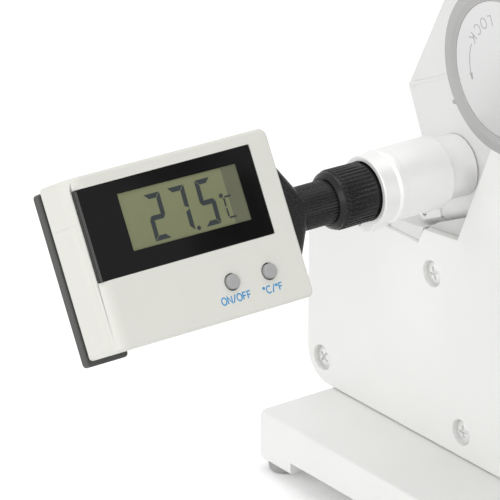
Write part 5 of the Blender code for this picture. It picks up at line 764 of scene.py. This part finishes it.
round_edges(shell, edges_at(shell, lambda co: co.x > 29 and co.y > 21), 2.2, 8)
round_edges(shell, edges_at(shell, lambda co: co.x > 29 and co.y < -21), 1.6, 8)
round_edges(shell, edges_at(shell, lambda co: co.x < -29 and co.z > 7), 5.0, 12)
shell_mesh = carved(to_mesh("shell", shell), edge=0.9, segments=5, angle=60)
shell_block = shell_mesh.copy()
case_cuts = [
    box("window_pocket", (-27.8, -4.3, 3.85), (24.3, 18.5, 9)),
    box("hollow", (-27.5, -19.8, -8), (27.5, 19.8, 5.35)),
    *(disc("button_hole", 2.15, 0, 9, x, BUTTON_Y) for _, x in BUTTONS),
]
shell_mesh = carved(shell_mesh, case_cuts, edge=0.12, segments=2, angle=60)
shell_mesh = carved(shell_mesh, [box("door_seat", (-31, -20.61, -8), (-28.49, 10.42, 5.06))])
piece("thermometer_case_fine", shell_mesh, HEAD, SHELL, ["thermometer_case"], weighted=True)
door = with_modifiers(box("door", (-31, -20.6, -5.85), (-28.5, 10.4, 5.05)), [
    ("BOOLEAN", {"operation": "INTERSECT", "solver": "EXACT", "object": shell_block}),
    ("BEVEL", {"width": 0.015, "segments": 1, "limit_method": "ANGLE", "angle_limit": math.radians(60),
               "use_clamp_overlap": False}),
])
piece("battery_door_fine", door, HEAD, SHELL, ["battery_door"], weighted=True)

LCD_LEFT, LCD_WIDTH = -16.2, 35.2
LCD_LOW = 0.8
SHEET_LOW, SHEET_HIGH = 6.96, 7.13
lcd_right = LCD_LEFT + LCD_WIDTH
lcd_hole = [(LCD_LEFT, LCD_LOW), (lcd_right, LCD_LOW - 0.3), (lcd_right, 14.75), (LCD_LEFT, 15.15)]
plate = carved(
    box("frame", (-27.7, -4.2, 4.15), (24.2, 18.4, 6.95)), [slab("lcd_hole", lcd_hole, 0, 9)], edge=0.1,
)
piece("display_frame_fine", plate, HEAD, BLACK, ["display_frame"], weighted=True)
# Flat grey strip along the frame's left edge: a painted highlight standing in for its lit bevel
painted_bezel_sheen = box("edge", (-27.6, -4.1, SHEET_LOW), (-26.95, 18.3, SHEET_HIGH))
piece("display_bezel_sheen", painted_bezel_sheen, HEAD, DARK_GREY_AND_BEZEL_SHEEN, body="thermometer")
sheet_line = [(-26.9, -4.1, 0.2), (24.1, -4.1, 0.5), (24.1, 18.3, 0.5), (-26.9, 18.3, 0.2)]
sheet = carved(slab("sheet", sheet_line, SHEET_LOW, SHEET_HIGH), [slab("lcd_hole", lcd_hole, 0, 9)])
piece("display_window", sheet, HEAD, GLOSS, body="thermometer")
piece("lcd_panel_fine", carved(slab("lcd", lcd_hole, 3.6, 6.85), edge=0.05), HEAD, LCD, ["lcd_panel"])
cap_profile = [
    (0, 4.45), (2.9, 4.45), (2.9, 5.05), (1.85, 5.05), (1.85, 8.2, 0.35), (1.1, 8.32, 2.0), (0, 8.33),
]
for name, x in BUTTONS:
    cap = lathe("cap", cap_profile, sides=64)
    piece(name + "_fine", cap, HEAD @ moved(x, BUTTON_Y, 0), BUTTON, [name])

# Lettering on the case, below its buttons
LABEL_LINE, LABEL_LOW, LABEL_HIGH = 0.36, 7.13, 7.17
for name, text, x_start, x_end, y_low, y_high in (
    ("on_off_label", "ON/OFF", 3.7, 12.5, -17.75, -16.0),
    ("unit_label", "°C/°F", 16.2, 22.0, -17.95, -16.2),
):
    lines, length = lettering(text, y_high - y_low)
    stretch = (x_end - x_start) / length
    lines = [[(x_start + x * stretch, y_low + y) for x, y in line] for line in lines]
    label = ribbon(name, lines, LABEL_LINE, LABEL_LOW, LABEL_HIGH)
    piece(name, label, HEAD, INK_BLUE, body="thermometer")

# Figures on the display, from its corner: segments, left and right sides, lowest, middle and highest lines
FIGURES = (
    ("abged", 7.0, 11.6, 0.8, 6.4, 12.3),
    ("abc", 14.0, 18.8, 0.9, 6.5, 12.4),
    ("afgcd", 22.1, 26.6, 0.9, 6.7, 12.5),
)
BAR_WIDTH = 1.2
BAR_GAP = 0.13
LCD_FACE = 6.86
INK_FACE = LCD_FACE + 0.05
SLANT = math.tan(math.radians(1))


def figure(letters, x0, x1, y0, ym, y1):
    """Figure of up to seven segments, as flat bars with mitred ends."""
    width, gap = BAR_WIDTH, BAR_GAP
    half = width / 2
    wide = width + gap
    shapes = {
        "a": [(x0 + gap, y1), (x1 - gap, y1), (x1 - wide, y1 - width), (x0 + wide, y1 - width)],
        "b": [(x1, y1 - gap), (x1 - width, y1 - wide), (x1 - width, ym + half + gap), (x1, ym + gap)],
        "c": [(x1, ym - gap), (x1 - width, ym - half - gap), (x1 - width, y0 + wide), (x1, y0 + gap)],
        "d": [(x0 + wide, y0 + width), (x1 - wide, y0 + width), (x1 - gap, y0), (x0 + gap, y0)],
        "e": [(x0, ym - gap), (x0 + width, ym - half - gap), (x0 + width, y0 + wide), (x0, y0 + gap)],
        "f": [(x0, y1 - gap), (x0 + width, y1 - wide), (x0 + width, ym + half + gap), (x0, ym + gap)],
        "g": [(x0 + gap, ym), (x0 + half + gap, ym + half), (x1 - half - gap, ym + half), (x1 - gap, ym),
              (x1 - half - gap, ym - half), (x0 + half + gap, ym - half)],
    }
    return [[(x + (y - y0) * SLANT, y) for x, y in shapes[letter]] for letter in letters]


display_ink = []
for letters, x0, x1, *heights in FIGURES:
    for bar in figure(letters, LCD_LEFT + x0, LCD_LEFT + x1, *(LCD_LOW + height for height in heights)):
        display_ink.append(slab("bar", bar, LCD_FACE, INK_FACE))
display_ink.append(disc("point", 0.55, LCD_FACE, INK_FACE, LCD_LEFT + 19.9, LCD_LOW + 1.2, sides=20))
unit_lines = [
    [(31.3, 6.8), (29.5, 6.8)], [(29.2, 6.6), (29.2, 4.5)],
    [(29.2, 4.0), (29.2, 1.9)], [(29.4, 1.6), (31.3, 1.6)],
    arc_points(28.6, 7.3, 0.35, 0.35, 0, 360, 12),
]
unit_lines = [[(LCD_LEFT + x, LCD_LOW + y) for x, y in line] for line in unit_lines]
display_ink.append(ribbon("unit", unit_lines, 0.42, LCD_FACE, INK_FACE))
# The darker band at the display's right end is painted shade
BAND_LEFT = LCD_LEFT + 30.6
band_line = [(BAND_LEFT, LCD_LOW - 0.2), (lcd_right, LCD_LOW - 0.3), (lcd_right, 14.75), (BAND_LEFT, 14.8)]
band = slab("band", band_line, 6.851, 6.857)
piece("display_painted_shade_band", band, HEAD, LCD_PAINTED_SHADE, body="thermometer")
piece("display_figures", merged("figures", *display_ink), HEAD, LCD_INK, body="thermometer")

# Scale and dispersion knobs, telescope and eyepiece
piece("scale_knob_fine", lathe("scale_knob", [
    (0, 1.2), (7.5, 1.2, 0.3), (7.5, 3.2, 0.3), (13.5, 3.2, 0.6), (13.5, 3.9), (13.5, 12.4),
    (13.5, 13.2, 0.8), (11.1, 13.2, 0.3), (10.6, 12.6, 0.3), (0, 12.6),
], ribs=32, rib_depth=0.5, rib_span=(3.85, 12.45)), SCALE, BLACK, ["scale_knob"], smooth=50)
piece("dispersion_knob_fine", lathe("dispersion_knob", [
    (0, 18.8), (15.0, 18.8, 0.3), (15.0, 20.05, 0.2), (12.5, 21.3, 0.3), (12.5, 21.6), (12.5, 29.0),
    (12.5, 29.8, 0.9), (10.0, 29.8, 0.3), (9.6, 29.3, 0.3), (0, 29.3),
], ribs=36, rib_depth=0.4, rib_span=(21.5, 29.1)), DISPERSION, BLACK, ["dispersion_knob"], smooth=50)
barrel_main = lathe("barrel", [
    (14.5, 140.0), (16.5, 140.0, 0.4), (16.5, 92.3, 0.8), (19.5, 92.3, 0.5), (19.5, 88.3, 0.3), (10.5, 88.3),
    (10.5, 30.0, 0.3), (8.0, 30.0), (8.0, 31.7), (9.0, 31.7), (9.0, 94.3), (14.5, 94.3),
], closed=True, sides=128)
boss = lathe("boss", [(2.1, 14.6), (6.0, 14.6), (6.0, 18.0, 0.4), (2.1, 18.0)], closed=True, sides=64)
boss.transform(Matrix.Translation((0, 0, DISPERSION_RISE)) @ UPRIGHT)
piece("telescope_barrel_fine", merged("telescope", barrel_main, boss), SCOPE, PAINT, ["telescope_barrel"])
piece("eyepiece_barrel_fine", lathe("eyepiece", [
    (11.3, 172.0), (13.5, 172.0, 0.3), (13.5, 143.3, 0.3), (16.5, 141.8, 0.3), (16.5, 140.3, 0.2),
    (14.2, 140.3), (14.2, 135.0), (11.3, 135.0),
], closed=True, sides=128), SCOPE, ANODISED, ["eyepiece_barrel"])
piece("focus_ring_fine", lathe("focus", [
    (11.3, 172.3), (15.5, 172.3, 0.4), (15.5, 173.1), (15.5, 179.0), (15.5, 179.8, 0.4), (11.3, 179.8),
], closed=True, ribs=40, rib_depth=0.5, rib_span=(172.9, 179.2)), SCOPE, ANODISED, ["focus_ring"], smooth=50)
piece("ocular_tube_fine", lathe("ocular", [
    (9.2, 188.0, 0.1), (11.0, 188.0, 0.2), (11.0, 160.0, 0.2), (8.4, 160.0), (8.4, 178.7), (9.2, 178.7),
], closed=True, sides=96), SCOPE, ANODISED, ["ocular_tube"])
piece("eyecup_fine", lathe("eyecup", [
    (9.2, 195.6, 0.3), (15.0, 195.6, 0.8), (16.5, 191.93, 1.5), (13.0, 184.6, 0.4), (11.3, 184.6),
    (11.3, 188.3), (9.2, 188.3),
], closed=True, sides=96), SCOPE, RUBBER, ["eyecup"])
for number in range(1, 5):
    low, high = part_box(f"rubber_foot_{number}")
    foot_place = Matrix.Translation(((low.x + high.x) / 2, (low.y + high.y) / 2, 0))
    piece(f"rubber_foot_{number}_fine", lathe("foot", [
        (0, 0), (4.0, 0, 0.8), (4.4, 2.6, 0.2), (2.0, 2.6), (2.0, 10.6), (0, 10.6),
    ], sides=48), foot_place, FOOT, [f"rubber_foot_{number}"])


# Floor, a little under the feet, and a world that is white where it is seen; sizes and places in metres
FLOOR_REACH = 6.0
FLOOR_DROP = 0.0002
FLOOR_GLOW = 0.14
corners = [(x * FLOOR_REACH, y * FLOOR_REACH, 0) for x, y in ((-1, -1), (1, -1), (1, 1), (-1, 1))]
floor_mesh = bpy.data.meshes.new("floor")
floor_mesh.from_pydata(corners, [], [(0, 1, 2, 3)])
floor = bpy.data.objects.new("floor", floor_mesh)
bpy.context.scene.collection.objects.link(floor)
floor.location.z = -FLOOR_DROP
FLOOR = Tree("pale_floor")
FLOOR.patches(FLOOR.noise(2.0), (0.97, 0.97, 0.97), (1.0, 1.0, 1.0))
FLOOR.set(Roughness=0.9, Specular_IOR_Level=0.0, Emission_Color=(1.0, 1.0, 1.0, 1.0))
floor_seen = FLOOR.add("ShaderNodeLightPath").outputs["Is Camera Ray"]
FLOOR.link(FLOOR.maths("MULTIPLY", floor_seen, FLOOR_GLOW), FLOOR.shader.inputs["Emission Strength"])
dress(floor, FLOOR)
floor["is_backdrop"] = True

world = bpy.data.worlds.new("studio")
bpy.context.scene.world = world
world.use_nodes = True
sky = world.node_tree
background = sky.nodes["Background"]
background.inputs["Color"].default_value = (1.0, 1.0, 1.0, 1.0)
LIT_LEVEL, SEEN_LEVEL = 0.70, 1.0
rays = sky.nodes.new("ShaderNodeLightPath").outputs
seen = rays["Is Camera Ray"]
for kind in ("Is Glossy Ray", "Is Transmission Ray"):
    either = sky.nodes.new("ShaderNodeMath")
    either.operation = "ADD"
    either.use_clamp = True
    sky.links.new(seen, either.inputs[0])
    sky.links.new(rays[kind], either.inputs[1])
    seen = either.outputs[0]
level = sky.nodes.new("ShaderNodeMapRange")
level.inputs["To Min"].default_value = LIT_LEVEL
level.inputs["To Max"].default_value = SEEN_LEVEL
sky.links.new(seen, level.inputs["Value"])
sky.links.new(level.outputs["Result"], background.inputs["Strength"])


def soft_lamp(name, place, aim, width, power):
    lamp = bpy.data.lights.new(name, "AREA")
    lamp.shape = "SQUARE"
    lamp.size = width
    lamp.energy = power
    holder = bpy.data.objects.new(name, lamp)
    bpy.context.scene.collection.objects.link(holder)
    holder.location = place
    holder.rotation_euler = (Vector(aim) - Vector(place)).to_track_quat("-Z", "Y").to_euler()


centre = (cad_low + cad_high) / 2
soft_lamp("key_light", (-0.6, -1.7, 0.9), centre, 1.2, 7.0)
soft_lamp("side_light", (1.2, -1.4, 0.8), centre, 1.2, 8.5)
soft_lamp("top_light", (0.0, 0.3, 2.2), centre, 1.6, 12.5)

# Camera: the photograph's view, found from the edges of the thermometer, the cover and the base
AZIMUTH = math.radians(53.34)
ELEVATION = math.radians(22.72)
ROLL = math.radians(0.13)
PLACE = (856.09, -656.59, 487.81)  # in millimetres from the side cover's corner
SENSOR_WIDTH, FOCAL_LENGTH = 36.0, 314.78
forward = Vector((
    -math.sin(AZIMUTH) * math.cos(ELEVATION),
    math.cos(AZIMUTH) * math.cos(ELEVATION),
    -math.sin(ELEVATION),
))
level_right = Vector((math.cos(AZIMUTH), math.sin(AZIMUTH), 0.0))
level_up = level_right.cross(forward)
right = level_right * math.cos(ROLL) + level_up * math.sin(ROLL)
up = level_up * math.cos(ROLL) - level_right * math.sin(ROLL)
camera_data = bpy.data.cameras.new("camera")
camera_data.sensor_width = SENSOR_WIDTH
camera_data.lens = FOCAL_LENGTH
camera_data.clip_start = 0.05
camera_data.clip_end = 50.0
camera = bpy.data.objects.new("camera", camera_data)
bpy.context.scene.collection.objects.link(camera)
camera.matrix_world = Matrix((
    (right.x, up.x, -forward.x, ORIGIN.x + PLACE[0] * MM),
    (right.y, up.y, -forward.y, ORIGIN.y + PLACE[1] * MM),
    (right.z, up.z, -forward.z, ORIGIN.z + PLACE[2] * MM),
    (0.0, 0.0, 0.0, 1.0),
))
bpy.context.scene.camera = camera

bpy.context.scene.view_settings.view_transform = "Standard"

low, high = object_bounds()
